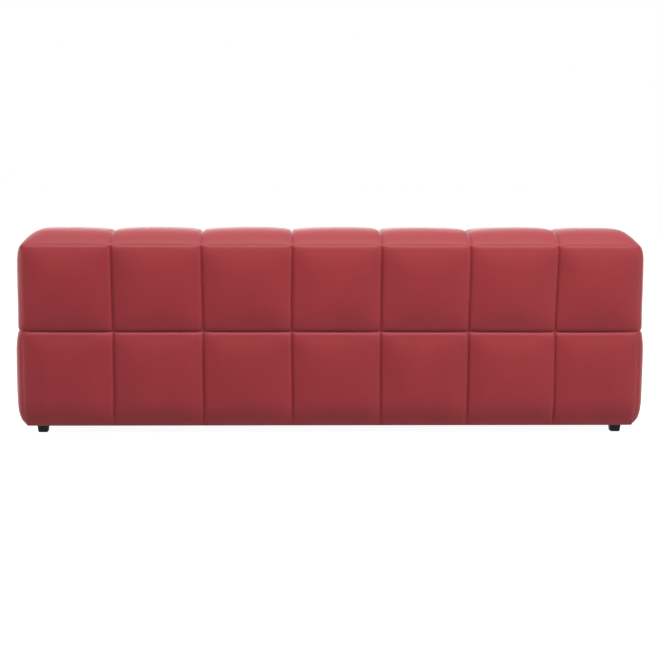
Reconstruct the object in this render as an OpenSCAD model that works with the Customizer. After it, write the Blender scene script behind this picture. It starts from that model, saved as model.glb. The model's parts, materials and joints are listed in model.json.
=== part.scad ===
/* [Tufting] */
// Width of one tuft column, seam to seam
tuft_w = 330; // [300:5:345]
// Depth of one tuft on the seat and the arms
tuft_d = 330; // [310:5:345]
// Tuft columns across the seat, two fewer than across the back
seat_cols = 5; // [3:1:6]
// Height of the lower row of tufts
lower_row_h = 360; // [335:5:365]
// Height of the upper row of tufts on the back
upper_row_h = 324; // [300:1:340]
// Height of the upper row of tufts on the arms
arm_row_h = 179; // [160:1:200]
// How far a tuft stands out from its seams on a side
puff = 18; // [8:1:20]
// How far a tuft stands out from its seams at the two ends of the sofa
puff_end = 19; // [8:1:22]
// How far a tuft stands out from its seams on top
puff_top = 12; // [6:1:16]
/* [Modules] */
// Thickness of the back module
back_t = 290; // [270:5:320]
// Gap between neighbouring modules
module_gap = 2; // [1:0.5:3]
// Rise of the back's rounded top above its edge seams
back_crown = 45; // [20:1:50]
// Rise of the rounded top of the seat and arms
seat_crown = 30; // [15:1:40]
// Distance over which a rounded top falls to its edge seam
crown_run = 105; // [80:5:130]
// How far the outer faces roll in at the floor edge
roll_in = 20; // [5:1:24]
// Height over which they roll in
roll_h = 95; // [60:5:130]
/* [Covers] */
// Thickness of the quilted cover on a face that shows
quilt_t = 34; // [28:1:36]
// Thickness of the plain fabric on a face that meets a neighbour
skin_t = 4; // [3:0.5:5]
/* [Frame] */
// Thickness of the frame boards
board_t = 22; // [18:1:25]
// Thickness of the plywood panels
ply_t = 18; // [12:1:21]
// Height of the seat's side rails
seat_rail_h = 201; // [190:1:210]
// Number of zigzag springs under the seat
spring_count = 8; // [6:1:10]
// Number of webbing straps in the back
strap_count = 12; // [8:1:14]
/* [Feet] */
// Height of the feet
foot_h = 32.4; // [30:0.4:40]
// Width of a foot at its top
foot_top_w = 40; // [36:1:46]
// Width of a foot at the floor
foot_base_w = 31; // [26:1:36]
/* [Hidden] */

velvet = "#963a3f";
pine = "#d9b382";
plywood = "#c79f6b";
foam_white = "#efe9d6";
steel = "#9a9da1";
black_cloth = "#1d1d1f";
black_plastic = "#17181a";

// Plan: the origin is under the middle of the sofa, and the front faces -Y
seat_half = seat_cols * tuft_w / 2;
half_w = seat_half + tuft_w;
depth = back_t + 2 * tuft_d;
y_front = -depth / 2;
y_rear = depth / 2;
y_split = y_rear - back_t;
half_gap = module_gap / 2;

// Heights
dust_t = 1.6;
z_base = foot_h - 0.4;
z_frame = foot_h + dust_t;
z_mid = z_base + lower_row_h;
z_back = z_mid + upper_row_h;
z_arm = z_mid + arm_row_h;

// Faces of the seat module, and the recess of the seams on faces that meet a neighbour
recess = 10;
seat_x = seat_half - half_gap;
seat_y = y_split - half_gap;
back_y = y_split + half_gap;
arm_x = seat_half + half_gap;

// Cavities inside the covers
seat_in_x = seat_x - skin_t;
seat_in_y = seat_y - skin_t;
seat_in_front = y_front + quilt_t;
seat_in_top = z_mid - quilt_t;
back_in_x = half_w - quilt_t;
back_in_rear = y_rear - quilt_t;
back_in_front = back_y + quilt_t;
back_in_low_front = back_y + skin_t;
back_in_top = z_back - quilt_t;
arm_in_out = half_w - quilt_t;
arm_in_in = arm_x + quilt_t;
arm_in_low = arm_x + skin_t;
arm_in_top = z_arm - quilt_t;
low_cavity_top = z_mid - quilt_t - 3;

// Rail tops and feet
seat_rail_top = z_frame + seat_rail_h;
foot_inset = 66;
foot_inset_y = 72;
foot_block_h = 45;
stud_r = 4;
stud_len = 36;
nut_bore_r = 4.1;
nut_r = 5;
nut_flange_r = 11;
nut_flange_t = 1.5;
corner_leg = 120;
corner_foot = 36;

// Hook brackets: n is measured out from the face of the rail that carries the receiver
plate_t = 2.5;
pocket_t = 3.1;
bracket_z = 90;
receiver_h = 50;
receiver_half = 36;
pocket_half = 18;
tongue_half = 17;
tongue_tip_half = 12;
tongue_n = 0.4;
hook_plate_n = 2 * skin_t + module_gap - plate_t;
hook_plate_h = 60;
hook_plate_half = 28;
hook_lift = 60;
screw_r = 2.4;
screw_hole_r = 2.5;
screw_head_r = 4.5;
screw_head_t = 1.9;
screw_len = 18;
arm_hook_ys = [y_front + 145, seat_y - 125];
back_hook_xs = [-0.72 * seat_half, 0, 0.72 * seat_half];

// How far from an outer face the roll-in at the floor is felt
roll_reach = 150;

// Each cell of a tufted face is cut at these fractions of its width
cuts = [0, 0.1, 0.35, 0.65, 0.9, 1];
cells = len(cuts) - 1;

function last(v) = v[len(v) - 1];
function ease(t) = 1 - pow(1 - min(max(t, 0), 1), 2);
function pillow(i) = 1 - pow(2 * cuts[i % cells] - 1, 4);
function stations(seams) =
    concat([seams[0]], [for (c = [0 : len(seams) - 2]) for (k = [1 : cells])
        seams[c] + (seams[c + 1] - seams[c]) * cuts[k]]);
function seam_row(start, pitch, count) = [for (k = [0 : count]) start + k * pitch];
function mesh_quads(start, nu, nv, flip) =
    [for (i = [0 : nu - 1]) for (j = [0 : nv - 1])
        let (a = start + i * (nv + 1) + j, b = a + nv + 1)
        each flip ? [[a, a + 1, b + 1], [a, b + 1, b]] : [[a, b + 1, a + 1], [a, b, b + 1]]];

// A closed tufted block. sx, sy and sz are the seam positions along each axis. The lists that
// follow hold left, right, front and rear: the puff of each side, the share of the roll-in that
// it takes at the floor, and whether its lower row is pressed flat against a neighbour.
module tufted_block(sx, sy, sz, puffs, rolls, flats, crown) {
    xs = stations(sx);
    ys = stations(sy);
    zs = stations(sz);
    nx = len(xs) - 1;
    ny = len(ys) - 1;
    nz = len(zs) - 1;
    inset = function (z) roll_in * pow(1 - min((z - z_base) / roll_h, 1), 2);
    fade = function (d) pow(max(0, 1 - d / roll_reach), 2);
    tuck = function (v, s, z, roll_a, roll_b)
        v + inset(z) * (roll_a * fade(v - s[0]) - roll_b * fade(last(s) - v));
    tx = function (x, z) tuck(x, sx, z, rolls[0], rolls[1]);
    ty = function (y, z) tuck(y, sy, z, rolls[2], rolls[3]);
    push = function (side, i, n, k)
        puffs[side] * (flats[side] == 1 && k < cells
            ? (i == 0 || i == n ? 0 : 1)
            : pillow(i) * pillow(k));
    left = [for (i = [0 : ny]) for (k = [0 : nz])
        [tx(sx[0], zs[k]) - push(0, i, ny, k), ty(ys[i], zs[k]), zs[k]]];
    right = [for (i = [0 : ny]) for (k = [0 : nz])
        [tx(last(sx), zs[k]) + push(1, i, ny, k), ty(ys[i], zs[k]), zs[k]]];
    front = [for (i = [0 : nx]) for (k = [0 : nz])
        [tx(xs[i], zs[k]), ty(sy[0], zs[k]) - push(2, i, nx, k), zs[k]]];
    rear = [for (i = [0 : nx]) for (k = [0 : nz])
        [tx(xs[i], zs[k]), ty(last(sy), zs[k]) + push(3, i, nx, k), zs[k]]];
    rise = function (x, y) crown
        * ease(min(x - sx[0], last(sx) - x) / crown_run)
        * ease(min(y - sy[0], last(sy) - y) / crown_run);
    top = [for (i = [0 : nx]) for (j = [0 : ny])
        [xs[i], ys[j], last(sz) + rise(xs[i], ys[j]) + puff_top * pillow(i) * pillow(j)]];
    rim = concat(
        [for (i = [0 : nx - 1]) front[i * (nz + 1)]],
        [for (j = [0 : ny - 1]) right[j * (nz + 1)]],
        [for (i = [nx : -1 : 1]) rear[i * (nz + 1)]],
        [for (j = [ny : -1 : 1]) left[j * (nz + 1)]]);
    side_n = (ny + 1) * (nz + 1);
    face_n = (nx + 1) * (nz + 1);
    top_start = 2 * side_n + 2 * face_n;
    rim_start = top_start + (nx + 1) * (ny + 1);
    middle = [(sx[0] + last(sx)) / 2, (sy[0] + last(sy)) / 2, z_base];
    polyhedron(
        points = concat(left, right, front, rear, top, rim, [middle]),
        faces = concat(
            mesh_quads(0, ny, nz, false),
            mesh_quads(side_n, ny, nz, true),
            mesh_quads(2 * side_n, nx, nz, true),
            mesh_quads(2 * side_n + face_n, nx, nz, false),
            mesh_quads(top_start, nx, ny, true),
            [for (k = [0 : len(rim) - 1])
                [rim_start + k, rim_start + (k + 1) % len(rim), rim_start + len(rim)]]),
        convexity = 4);
}

// A box from its low corner to its high corner
module span(low, high) {
    translate(low) cube(high - low);
}

// Puts its children on the left arm, from shapes drawn for the right arm
module on_left() {
    mirror([1, 0, 0]) children();
}

// Carries a bracket drawn on the XZ plane, with n along +Y, to each place that holds one
module at_arm_brackets() {
    for (y = arm_hook_ys)
        translate([seat_in_x, y, bracket_z]) rotate([0, 0, -90]) children();
}

module at_back_brackets() {
    for (x = back_hook_xs)
        translate([x, seat_in_y, bracket_z]) children();
}

module at_seat_brackets() {
    at_arm_brackets() children();
    on_left() at_arm_brackets() children();
    at_back_brackets() children();
}

// Receiver: a bridge on two flanges, screwed to the seat rail
module receiver() {
    difference() {
        union() {
            span([-pocket_half - plate_t, 0, 0], [-pocket_half, pocket_t + plate_t, receiver_h]);
            span([pocket_half, 0, 0], [pocket_half + plate_t, pocket_t + plate_t, receiver_h]);
            span([-pocket_half - plate_t, pocket_t, 0],
                 [pocket_half + plate_t, pocket_t + plate_t, receiver_h]);
            span([-receiver_half, 0, 0], [-pocket_half, plate_t, receiver_h]);
            span([pocket_half, 0, 0], [receiver_half, plate_t, receiver_h]);
        }
        receiver_screw_places() rotate([-90, 0, 0]) cylinder(r = screw_hole_r, h = 3 * plate_t,
                                                             center = true, $fn = 32);
    }
}

module receiver_screw_places() {
    for (w = [-1, 1])
        for (z = [12, receiver_h - 12])
            translate([w * (receiver_half + pocket_half + plate_t) / 2, 0, z]) children();
}

// Hook: a plate on the lifting module, a shelf over the bridge and a tapered tongue behind it
module hook() {
    shelf_z = receiver_h + 0.3;
    plate_z = shelf_z + plate_t;
    difference() {
        union() {
            span([-hook_plate_half, hook_plate_n, plate_z],
                 [hook_plate_half, hook_plate_n + plate_t, plate_z + hook_plate_h]);
            span([-tongue_half, hook_plate_n, shelf_z],
                 [tongue_half, hook_plate_n + plate_t, plate_z]);
            span([-tongue_half, tongue_n, shelf_z],
                 [tongue_half, hook_plate_n + plate_t, shelf_z + plate_t]);
            translate([0, tongue_n + plate_t, 0]) rotate([90, 0, 0]) linear_extrude(plate_t)
                polygon([[-tongue_tip_half, 8], [tongue_tip_half, 8], [tongue_half, 30],
                         [tongue_half, shelf_z + plate_t], [-tongue_half, shelf_z + plate_t],
                         [-tongue_half, 30]]);
        }
        hook_screw_places() rotate([-90, 0, 0]) cylinder(r = screw_hole_r, h = 3 * plate_t,
                                                         center = true, $fn = 32);
    }
}

module hook_screw_places() {
    for (w = [-1, 1])
        for (z = [receiver_h + 18, receiver_h + 48])
            translate([w * 19, hook_plate_n, z]) children();
}

// A pan-head screw along Y, its head proud of a plate whose outer face is at the given n
module screw(face_n, into) {
    translate([0, face_n, 0]) {
        rotate([-90 * into, 0, 0]) cylinder(r = screw_r, h = screw_len, $fn = 24);
        rotate([90 * into, 0, 0]) cylinder(r = screw_head_r, h = screw_head_t, $fn = 24);
    }
}

module receiver_screw_set() {
    receiver_screw_places() screw(plate_t, -1);
}

module hook_screw_set() {
    hook_screw_places() screw(0, 1);
}

// Screw holes in the wood, seen from each side of the joint
module receiver_screw_holes() {
    receiver_screw_places() rotate([90, 0, 0]) cylinder(r = screw_hole_r, h = screw_len, $fn = 24);
}

module hook_screw_holes() {
    hook_screw_places() rotate([-90, 0, 0]) cylinder(r = screw_hole_r, h = screw_len + 1, $fn = 24);
}

// Windows that the brackets need in the fabric of the two faces that meet
module receiver_window() {
    span([-receiver_half - 4, -skin_t, -6], [receiver_half + 4, 2 * skin_t, receiver_h + hook_lift + 12]);
}

module hook_window() {
    span([-hook_plate_half - 4, skin_t + half_gap, receiver_h - 6],
         [hook_plate_half + 4, 3 * skin_t + module_gap, receiver_h + hook_plate_h + 8]);
}

// Feet
foot_seat = [[-seat_in_x + board_t + corner_foot, seat_in_front + board_t + corner_foot + 1],
             [seat_in_x - board_t - corner_foot, seat_in_front + board_t + corner_foot + 1],
             [-seat_in_x + board_t + corner_foot, seat_in_y - board_t - corner_foot],
             [seat_in_x - board_t - corner_foot, seat_in_y - board_t - corner_foot],
             [0, -tuft_d / 2]];
foot_back = [[-half_w + foot_inset, y_rear - foot_inset_y - 3],
             [half_w - foot_inset, y_rear - foot_inset_y - 3]];
foot_arm = [[half_w - foot_inset, y_front + foot_inset_y + 3],
            [half_w - foot_inset, seat_y - foot_inset_y]];

module rounded_square(w, r) {
    for (sx = [-1, 1])
        for (sy = [-1, 1])
            translate([sx * (w / 2 - r), sy * (w / 2 - r)]) circle(r = r, $fn = 16);
    square([w, w - 2 * r], center = true);
    square([w - 2 * r, w], center = true);
}

// A tapered plastic foot with a softened sole and a socket for its stud
module foot() {
    sole = 4;
    difference() {
        hull() {
            translate([0, 0, foot_h - 1]) linear_extrude(1) rounded_square(foot_top_w, 6);
            translate([0, 0, sole]) linear_extrude(1) rounded_square(foot_base_w + 2, 6);
            linear_extrude(1) rounded_square(foot_base_w - 3, 5);
        }
        translate([0, 0, foot_h - stud_len / 2 + 8]) cylinder(r = stud_r, h = stud_len, $fn = 32);
    }
}

module foot_stud() {
    translate([0, 0, foot_h - stud_len / 2 + 8]) cylinder(r = stud_r, h = stud_len, $fn = 32);
}

// A flanged nut pressed into the wood from above, which the stud screws into
module foot_nut(top) {
    difference() {
        union() {
            translate([0, 0, top - foot_block_h + 12]) cylinder(r = nut_r, h = foot_block_h - 12, $fn = 32);
            translate([0, 0, top]) cylinder(r = nut_flange_r, h = nut_flange_t, $fn = 32);
        }
        cylinder(r = nut_bore_r, h = 2 * top, $fn = 32);
    }
}

module foot_nut_hole() {
    cylinder(r = nut_r, h = 300, $fn = 32);
}

module feet_at(places) {
    color(black_plastic) for (p = places) translate([p.x, p.y, 0]) foot();
}

module studs_at(places) {
    color(steel) for (p = places) translate([p.x, p.y, 0]) foot_stud();
}

module nuts_at(places) {
    color(steel) for (p = places) translate([p.x, p.y, 0]) foot_nut(z_frame + foot_block_h);
}

// A thin cloth that closes the underside, with holes for the foot studs
module dust_cover(low, high, places) {
    color(black_cloth) difference() {
        span([low.x, low.y, foot_h], [high.x, high.y, z_frame]);
        for (p = places) translate([p.x, p.y, 0]) cylinder(r = stud_r + 0.6, h = 60, $fn = 32);
    }
}

// Seat module
module seat_cover() {
    color(velvet) difference() {
        tufted_block(seam_row(-seat_x, 2 * seat_x / seat_cols, seat_cols),
                     [y_front, y_front + tuft_d, seat_y], [z_base, z_mid],
                     [0, 0, puff, 0], [0, 0, 1, 0], [0, 0, 0, 0], seat_crown);
        span([-seat_in_x, seat_in_front, 0], [seat_in_x, seat_in_y, seat_in_top]);
        at_seat_brackets() receiver_window();
    }
}

module seat_front_rail() {
    color(pine) span([-seat_in_x, seat_in_front + 1, z_frame],
                     [seat_in_x, seat_in_front + 1 + board_t, seat_rail_top]);
}

module seat_rear_rail() {
    color(pine) difference() {
        span([-seat_in_x, seat_in_y - board_t, z_frame], [seat_in_x, seat_in_y, seat_rail_top]);
        at_back_brackets() receiver_screw_holes();
    }
}

module seat_end_rails() {
    color(pine) for (side = [0, 1]) mirror([side, 0, 0]) difference() {
        span([seat_in_x - board_t, seat_in_front + 1 + board_t, z_frame],
             [seat_in_x, seat_in_y - board_t, seat_rail_top]);
        at_arm_brackets() receiver_screw_holes();
    }
}

module seat_cross_rails() {
    rail_w = 45;
    rail_h = 70;
    color(pine) for (x = [-seat_half / 2, 0, seat_half / 2]) difference() {
        span([x - rail_w / 2, seat_in_front + 1 + board_t, z_frame],
             [x + rail_w / 2, seat_in_y - board_t, z_frame + (x == 0 ? foot_block_h : rail_h)]);
        translate([0, foot_seat[4].y, 0]) foot_nut_hole();
    }
}

module seat_corner_blocks() {
    color(pine) for (p = [0 : 3]) {
        sx = p % 2 == 0 ? -1 : 1;
        sy = p < 2 ? -1 : 1;
        edge_y = sy < 0 ? seat_in_front + 1 + board_t : seat_in_y - board_t;
        difference() {
            translate([sx * (seat_in_x - board_t), edge_y, z_frame])
                linear_extrude(foot_block_h)
                    polygon([[0, 0], [-sx * corner_leg, 0], [0, -sy * corner_leg]]);
            translate([foot_seat[p].x, foot_seat[p].y, 0]) foot_nut_hole();
        }
    }
}

// Zigzag springs, laid flat from the front rail to the rear rail
spring_wire = 4;
spring_amp = 26;
spring_pitch = 48;
spring_y0 = seat_in_front + 1 + board_t / 2;
spring_y1 = seat_in_y - board_t / 2;
spring_turns = floor((spring_y1 - spring_y0) / spring_pitch);
spring_step = (spring_y1 - spring_y0) / spring_turns;
spring_z = seat_rail_top + 5;
spring_xs = [for (k = [0 : spring_count - 1])
    (k + 0.5 - spring_count / 2) * 2 * (seat_in_x - board_t) / spring_count];

// Half width of the zigzag at a place along it: a rounded square wave
function zig(t) = spring_amp * sin(90 * sin(180 * t));

module zigzag_spring() {
    steps = 6;
    line = [for (k = [0 : spring_turns * steps]) [zig(k / steps), spring_y0 + k * spring_step / steps]];
    left = [for (k = [0 : len(line) - 1]) let (
        a = line[max(k - 1, 0)], b = line[min(k + 1, len(line) - 1)],
        d = (b - a) / norm(b - a)) line[k] + [-d.y, d.x] * spring_wire / 2];
    right = [for (k = [len(line) - 1 : -1 : 0]) 2 * line[k] - left[k]];
    translate([0, 0, spring_z]) linear_extrude(spring_wire) polygon(concat(left, right));
}

module seat_springs() {
    color(steel) for (x = spring_xs) translate([x, 0, 0]) zigzag_spring();
}

// Each clip is a folded strip nailed to the rail, with a mouth that holds the spring's end
module spring_clips() {
    clip_w = 16;
    color(steel) for (x = spring_xs)
        for (side = [-1, 1])
            translate([x - clip_w / 2, side < 0 ? spring_y0 : spring_y1, seat_rail_top])
                rotate([90, 0, 90]) linear_extrude(clip_w) difference() {
                    translate([-8, 0]) square([16, spring_z + spring_wire + 2 - seat_rail_top]);
                    translate([side < 0 ? -6 : -10, spring_z - 0.2 - seat_rail_top])
                        square([16, spring_wire + 0.4]);
                }
}

module spring_tie_wires() {
    wire_r = (spring_z - seat_rail_top) / 2;
    color(steel) for (y = [y_front + 250, y_split - 210])
        translate([-seat_in_x + 5, y, spring_z - wire_r]) rotate([0, 90, 0])
            cylinder(r = wire_r, h = 2 * (seat_in_x - 5), $fn = 24);
}

felt_z = spring_z + spring_wire + 2.4;

module spring_felt() {
    color("#6d6a66") span([-seat_in_x + 2, seat_in_front + 2, felt_z],
                          [seat_in_x - 2, seat_in_y - 2, felt_z + 3]);
}

module seat_foam() {
    color(foam_white) span([-seat_in_x + 0.5, seat_in_front + 0.5, felt_z + 3],
                           [seat_in_x - 0.5, seat_in_y - 0.5, seat_in_top - 0.5]);
}

module seat_dust_cover() {
    dust_cover([-seat_in_x + 0.5, seat_in_front + 0.5],
               [seat_in_x - 0.5, seat_in_y - 0.5], foot_seat);
}

module seat_feet() { feet_at(foot_seat); }
module seat_foot_studs() { studs_at(foot_seat); }
module seat_foot_nuts() { nuts_at(foot_seat); }

module hook_receivers() {
    color(steel) at_seat_brackets() receiver();
}

module receiver_screws() {
    color(steel) at_seat_brackets() receiver_screw_set();
}

// Back module
module back_cover() {
    color(velvet) difference() {
        tufted_block(seam_row(-half_w, tuft_w, seat_cols + 2), [back_y + recess, y_rear],
                     [z_base, z_mid, z_back], [puff_end, puff_end, recess, puff], [0.5, 0.5, 0, 1],
                     [0, 0, 1, 0], back_crown);
        span([-back_in_x, back_in_front, 0], [back_in_x, back_in_rear, back_in_top]);
        span([-back_in_x, back_in_low_front, 0], [back_in_x, back_in_front + 1, low_cavity_top]);
        at_back_brackets() hook_window();
    }
}

rail_rear_y = back_in_rear - 6;
rail_front_y = back_in_front + 42;
rail_w = 60;
strap_t = 2.5;
rib_top = back_in_top - 24;

module back_rails() {
    color(pine) for (z = [z_frame, rib_top - rail_w]) {
        span([-back_in_x + 1, rail_rear_y - board_t, z], [back_in_x - 1, rail_rear_y, z + rail_w]);
        span([-back_in_x + 1, rail_front_y, z], [back_in_x - 1, rail_front_y + board_t, z + rail_w]);
    }
}

// A plywood rib with two rounded windows that lighten it
module back_rib() {
    rib_d = rail_rear_y - rail_front_y - 2 * board_t;
    rib_h = rib_top - z_frame;
    r = 18;
    rotate([90, 0, 90]) linear_extrude(ply_t) difference() {
        square([rib_d, rib_h]);
        for (k = [0, 1]) translate([25, 75 + k * (rib_h / 2 - 30)]) {
            square([rib_d - 50, rib_h / 2 - 120]);
            translate([r, -r]) square([rib_d - 50 - 2 * r, rib_h / 2 - 120 + 2 * r]);
            for (x = [r, rib_d - 50 - r])
                for (y = [0, rib_h / 2 - 120])
                    translate([x, y]) circle(r = r, $fn = 32);
        }
    }
}

rib_xs = [for (k = [0 : 5]) -back_in_x + 1 + k * (2 * (back_in_x - 1) - ply_t) / 5];

module back_ribs() {
    color(plywood) for (x = rib_xs) translate([x, rail_front_y + board_t, z_frame]) back_rib();
}

module back_board() {
    color("#8d6a45") span([-back_in_x + 1, rail_rear_y, z_frame],
                          [back_in_x - 1, rail_rear_y + 5, rib_top]);
}

hook_board_z = 70;
hook_board_h = 150;

module back_hook_board() {
    color(pine) difference() {
        span([-seat_half + 20, back_in_low_front, hook_board_z],
             [seat_half - 20, back_in_low_front + board_t, hook_board_z + hook_board_h]);
        at_back_brackets() hook_screw_holes();
    }
}

module back_spacers() {
    color(pine) for (x = [rib_xs[1], rib_xs[2], rib_xs[3], rib_xs[4]]) {
        span([x - 14, back_in_low_front + board_t, hook_board_z],
             [x + ply_t + 14, rail_front_y, z_frame + rail_w]);
        span([x - 14, back_in_low_front + board_t, z_frame + rail_w],
             [x + ply_t + 14, rail_front_y - strap_t - 1, hook_board_z + hook_board_h]);
    }
}

module back_foot_blocks() {
    block_w = 60;
    color(pine) for (p = foot_back) difference() {
        span([p.x - (p.x < 0 ? 25 : block_w - 29), p.y - 45, z_frame],
             [p.x + (p.x < 0 ? block_w - 29 : 25), rail_rear_y - board_t, z_frame + foot_block_h]);
        translate([p.x, p.y, 0]) foot_nut_hole();
        for (x = [rib_xs[0], rib_xs[5]])
            span([x, 0, 0], [x + ply_t, half_w, z_back]);
    }
}

module back_webbing() {
    strap_w = 70;
    color("#2b2b2d") for (k = [0 : strap_count - 1])
        translate([(k + 0.5 - strap_count / 2) * 2 * (back_in_x - 30) / strap_count, 0, 0])
            span([-strap_w / 2, rail_front_y - strap_t, z_frame + rail_w + 8],
                 [strap_w / 2, rail_front_y, rib_top - 10]);
}

module back_foam() {
    color(foam_white) span([-back_in_x + 0.5, back_in_front + 0.5, low_cavity_top + 1],
                           [back_in_x - 0.5, rail_front_y - 3, back_in_top - 0.5]);
}

module back_top_foam() {
    color(foam_white) span([-back_in_x + 0.5, rail_front_y - 2.5, rib_top + 0.2],
                           [back_in_x - 0.5, back_in_rear - 0.5, back_in_top - 0.5]);
}

module back_dust_cover() {
    dust_cover([-back_in_x + 0.5, back_in_low_front + 0.5],
               [back_in_x - 0.5, back_in_rear - 0.5], foot_back);
}

module back_feet() { feet_at(foot_back); }
module back_foot_studs() { studs_at(foot_back); }
module back_foot_nuts() { nuts_at(foot_back); }

module back_hooks() {
    color(steel) at_back_brackets() hook();
}

module back_hook_screws() {
    color(steel) at_back_brackets() hook_screw_set();
}

// Arm modules, drawn for the right arm
module arm_cover() {
    difference() {
        tufted_block([arm_x + recess, half_w], [y_front, y_front + tuft_d, seat_y],
                     [z_base, z_mid, z_arm], [recess, puff_end, puff, 0], [0, 0.5, 1, 0],
                     [1, 0, 0, 0], seat_crown);
        span([arm_in_in, y_front + quilt_t, 0], [arm_in_out, seat_in_y, arm_in_top]);
        span([arm_in_low, y_front + quilt_t, 0], [arm_in_in + 1, arm_rail_y1, low_cavity_top]);
        at_arm_brackets() hook_window();
    }
}

arm_rail_y1 = seat_y - 34;
arm_panel_x = arm_in_in + 20;
arm_panel_top = arm_in_top - 40;

module arm_panels() {
    span([arm_in_out - 1 - ply_t, y_front + quilt_t + 1, z_frame],
         [arm_in_out - 1, seat_in_y, arm_panel_top]);
    span([arm_panel_x, y_front + quilt_t + 1, z_frame],
         [arm_panel_x + ply_t, seat_in_y, arm_panel_top]);
    for (y = [y_front + quilt_t + 1, seat_in_y - ply_t])
        span([arm_panel_x + ply_t, y, z_frame], [arm_in_out - 1 - ply_t, y + ply_t, arm_panel_top]);
}

module arm_top_board() {
    span([arm_panel_x, y_front + quilt_t + 1, arm_panel_top],
         [arm_in_out - 1, seat_in_y, arm_panel_top + 12]);
}

module arm_hook_rail() {
    difference() {
        span([arm_in_low, y_front + quilt_t + 1, hook_board_z - 10],
             [arm_panel_x, arm_rail_y1, hook_board_z + hook_board_h]);
        at_arm_brackets() hook_screw_holes();
    }
}

module arm_foot_blocks() {
    for (p = foot_arm) difference() {
        span([p.x - 35, p.y - 22, z_frame], [arm_in_out - 1 - ply_t, p.y + 22, z_frame + foot_block_h]);
        translate([p.x, p.y, 0]) foot_nut_hole();
    }
}

module arm_foam() {
    span([arm_in_in + 0.5, y_front + quilt_t + 0.5, arm_panel_top + 12],
         [arm_in_out - 0.5, seat_in_y - 0.5, arm_in_top - 0.5]);
    span([arm_in_in + 0.5, y_front + quilt_t + 0.5, low_cavity_top + 1],
         [arm_panel_x, seat_in_y - 0.5, arm_panel_top + 12]);
}

module right_arm_cover() { color(velvet) arm_cover(); }
module right_arm_panels() { color(plywood) arm_panels(); }
module right_arm_top_board() { color(plywood) arm_top_board(); }
module right_arm_hook_rail() { color(pine) arm_hook_rail(); }
module right_arm_foot_blocks() { color(pine) arm_foot_blocks(); }
module right_arm_foam() { color(foam_white) arm_foam(); }

module right_arm_dust_cover() {
    dust_cover([arm_in_low + 0.5, y_front + quilt_t + 0.5],
               [arm_in_out - 0.5, arm_rail_y1 - 0.5], foot_arm);
    dust_cover([arm_in_in + 0.5, arm_rail_y1 - 0.5],
               [arm_in_out - 0.5, seat_in_y - 0.5], foot_arm);
}

module right_arm_feet() { feet_at(foot_arm); }
module right_arm_foot_studs() { studs_at(foot_arm); }
module right_arm_foot_nuts() { nuts_at(foot_arm); }
module right_arm_hooks() { color(steel) at_arm_brackets() hook(); }
module right_arm_hook_screws() { color(steel) at_arm_brackets() hook_screw_set(); }

seat_cover();
seat_front_rail();
seat_rear_rail();
seat_end_rails();
seat_cross_rails();
seat_corner_blocks();
seat_springs();
spring_clips();
spring_tie_wires();
spring_felt();
seat_foam();
seat_dust_cover();
seat_feet();
seat_foot_studs();
seat_foot_nuts();
hook_receivers();
receiver_screws();
back_cover();
back_rails();
back_ribs();
back_board();
back_hook_board();
back_spacers();
back_foot_blocks();
back_webbing();
back_foam();
back_top_foam();
back_dust_cover();
back_feet();
back_foot_studs();
back_foot_nuts();
back_hooks();
back_hook_screws();
on_left() right_arm_cover();  // left_arm_cover
on_left() right_arm_panels();  // left_arm_panels
on_left() right_arm_top_board();  // left_arm_top_board
on_left() right_arm_hook_rail();  // left_arm_hook_rail
on_left() right_arm_foot_blocks();  // left_arm_foot_blocks
on_left() right_arm_foam();  // left_arm_foam
on_left() right_arm_dust_cover();  // left_arm_dust_cover
on_left() right_arm_feet();  // left_arm_feet
on_left() right_arm_foot_studs();  // left_arm_foot_studs
on_left() right_arm_foot_nuts();  // left_arm_foot_nuts
on_left() right_arm_hooks();  // left_arm_hooks
on_left() right_arm_hook_screws();  // left_arm_hook_screws
right_arm_cover();
right_arm_panels();
right_arm_top_board();
right_arm_hook_rail();
right_arm_foot_blocks();
right_arm_foam();
right_arm_dust_cover();
right_arm_feet();
right_arm_foot_studs();
right_arm_foot_nuts();
right_arm_hooks();
right_arm_hook_screws();
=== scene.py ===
"""Modular sofa in dusty red velvet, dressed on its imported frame.

All sizes are in metres, in the part's own frame: +Z is up, the seat faces -Y and the photograph
looks at the back of the sofa, along -Y.
"""

from __future__ import annotations

import json
import logging
import math
from collections.abc import Sequence
from dataclasses import dataclass, field
from enum import Enum

import bmesh
import bpy
import numpy as np
from mathutils import Matrix, Vector, noise

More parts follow.
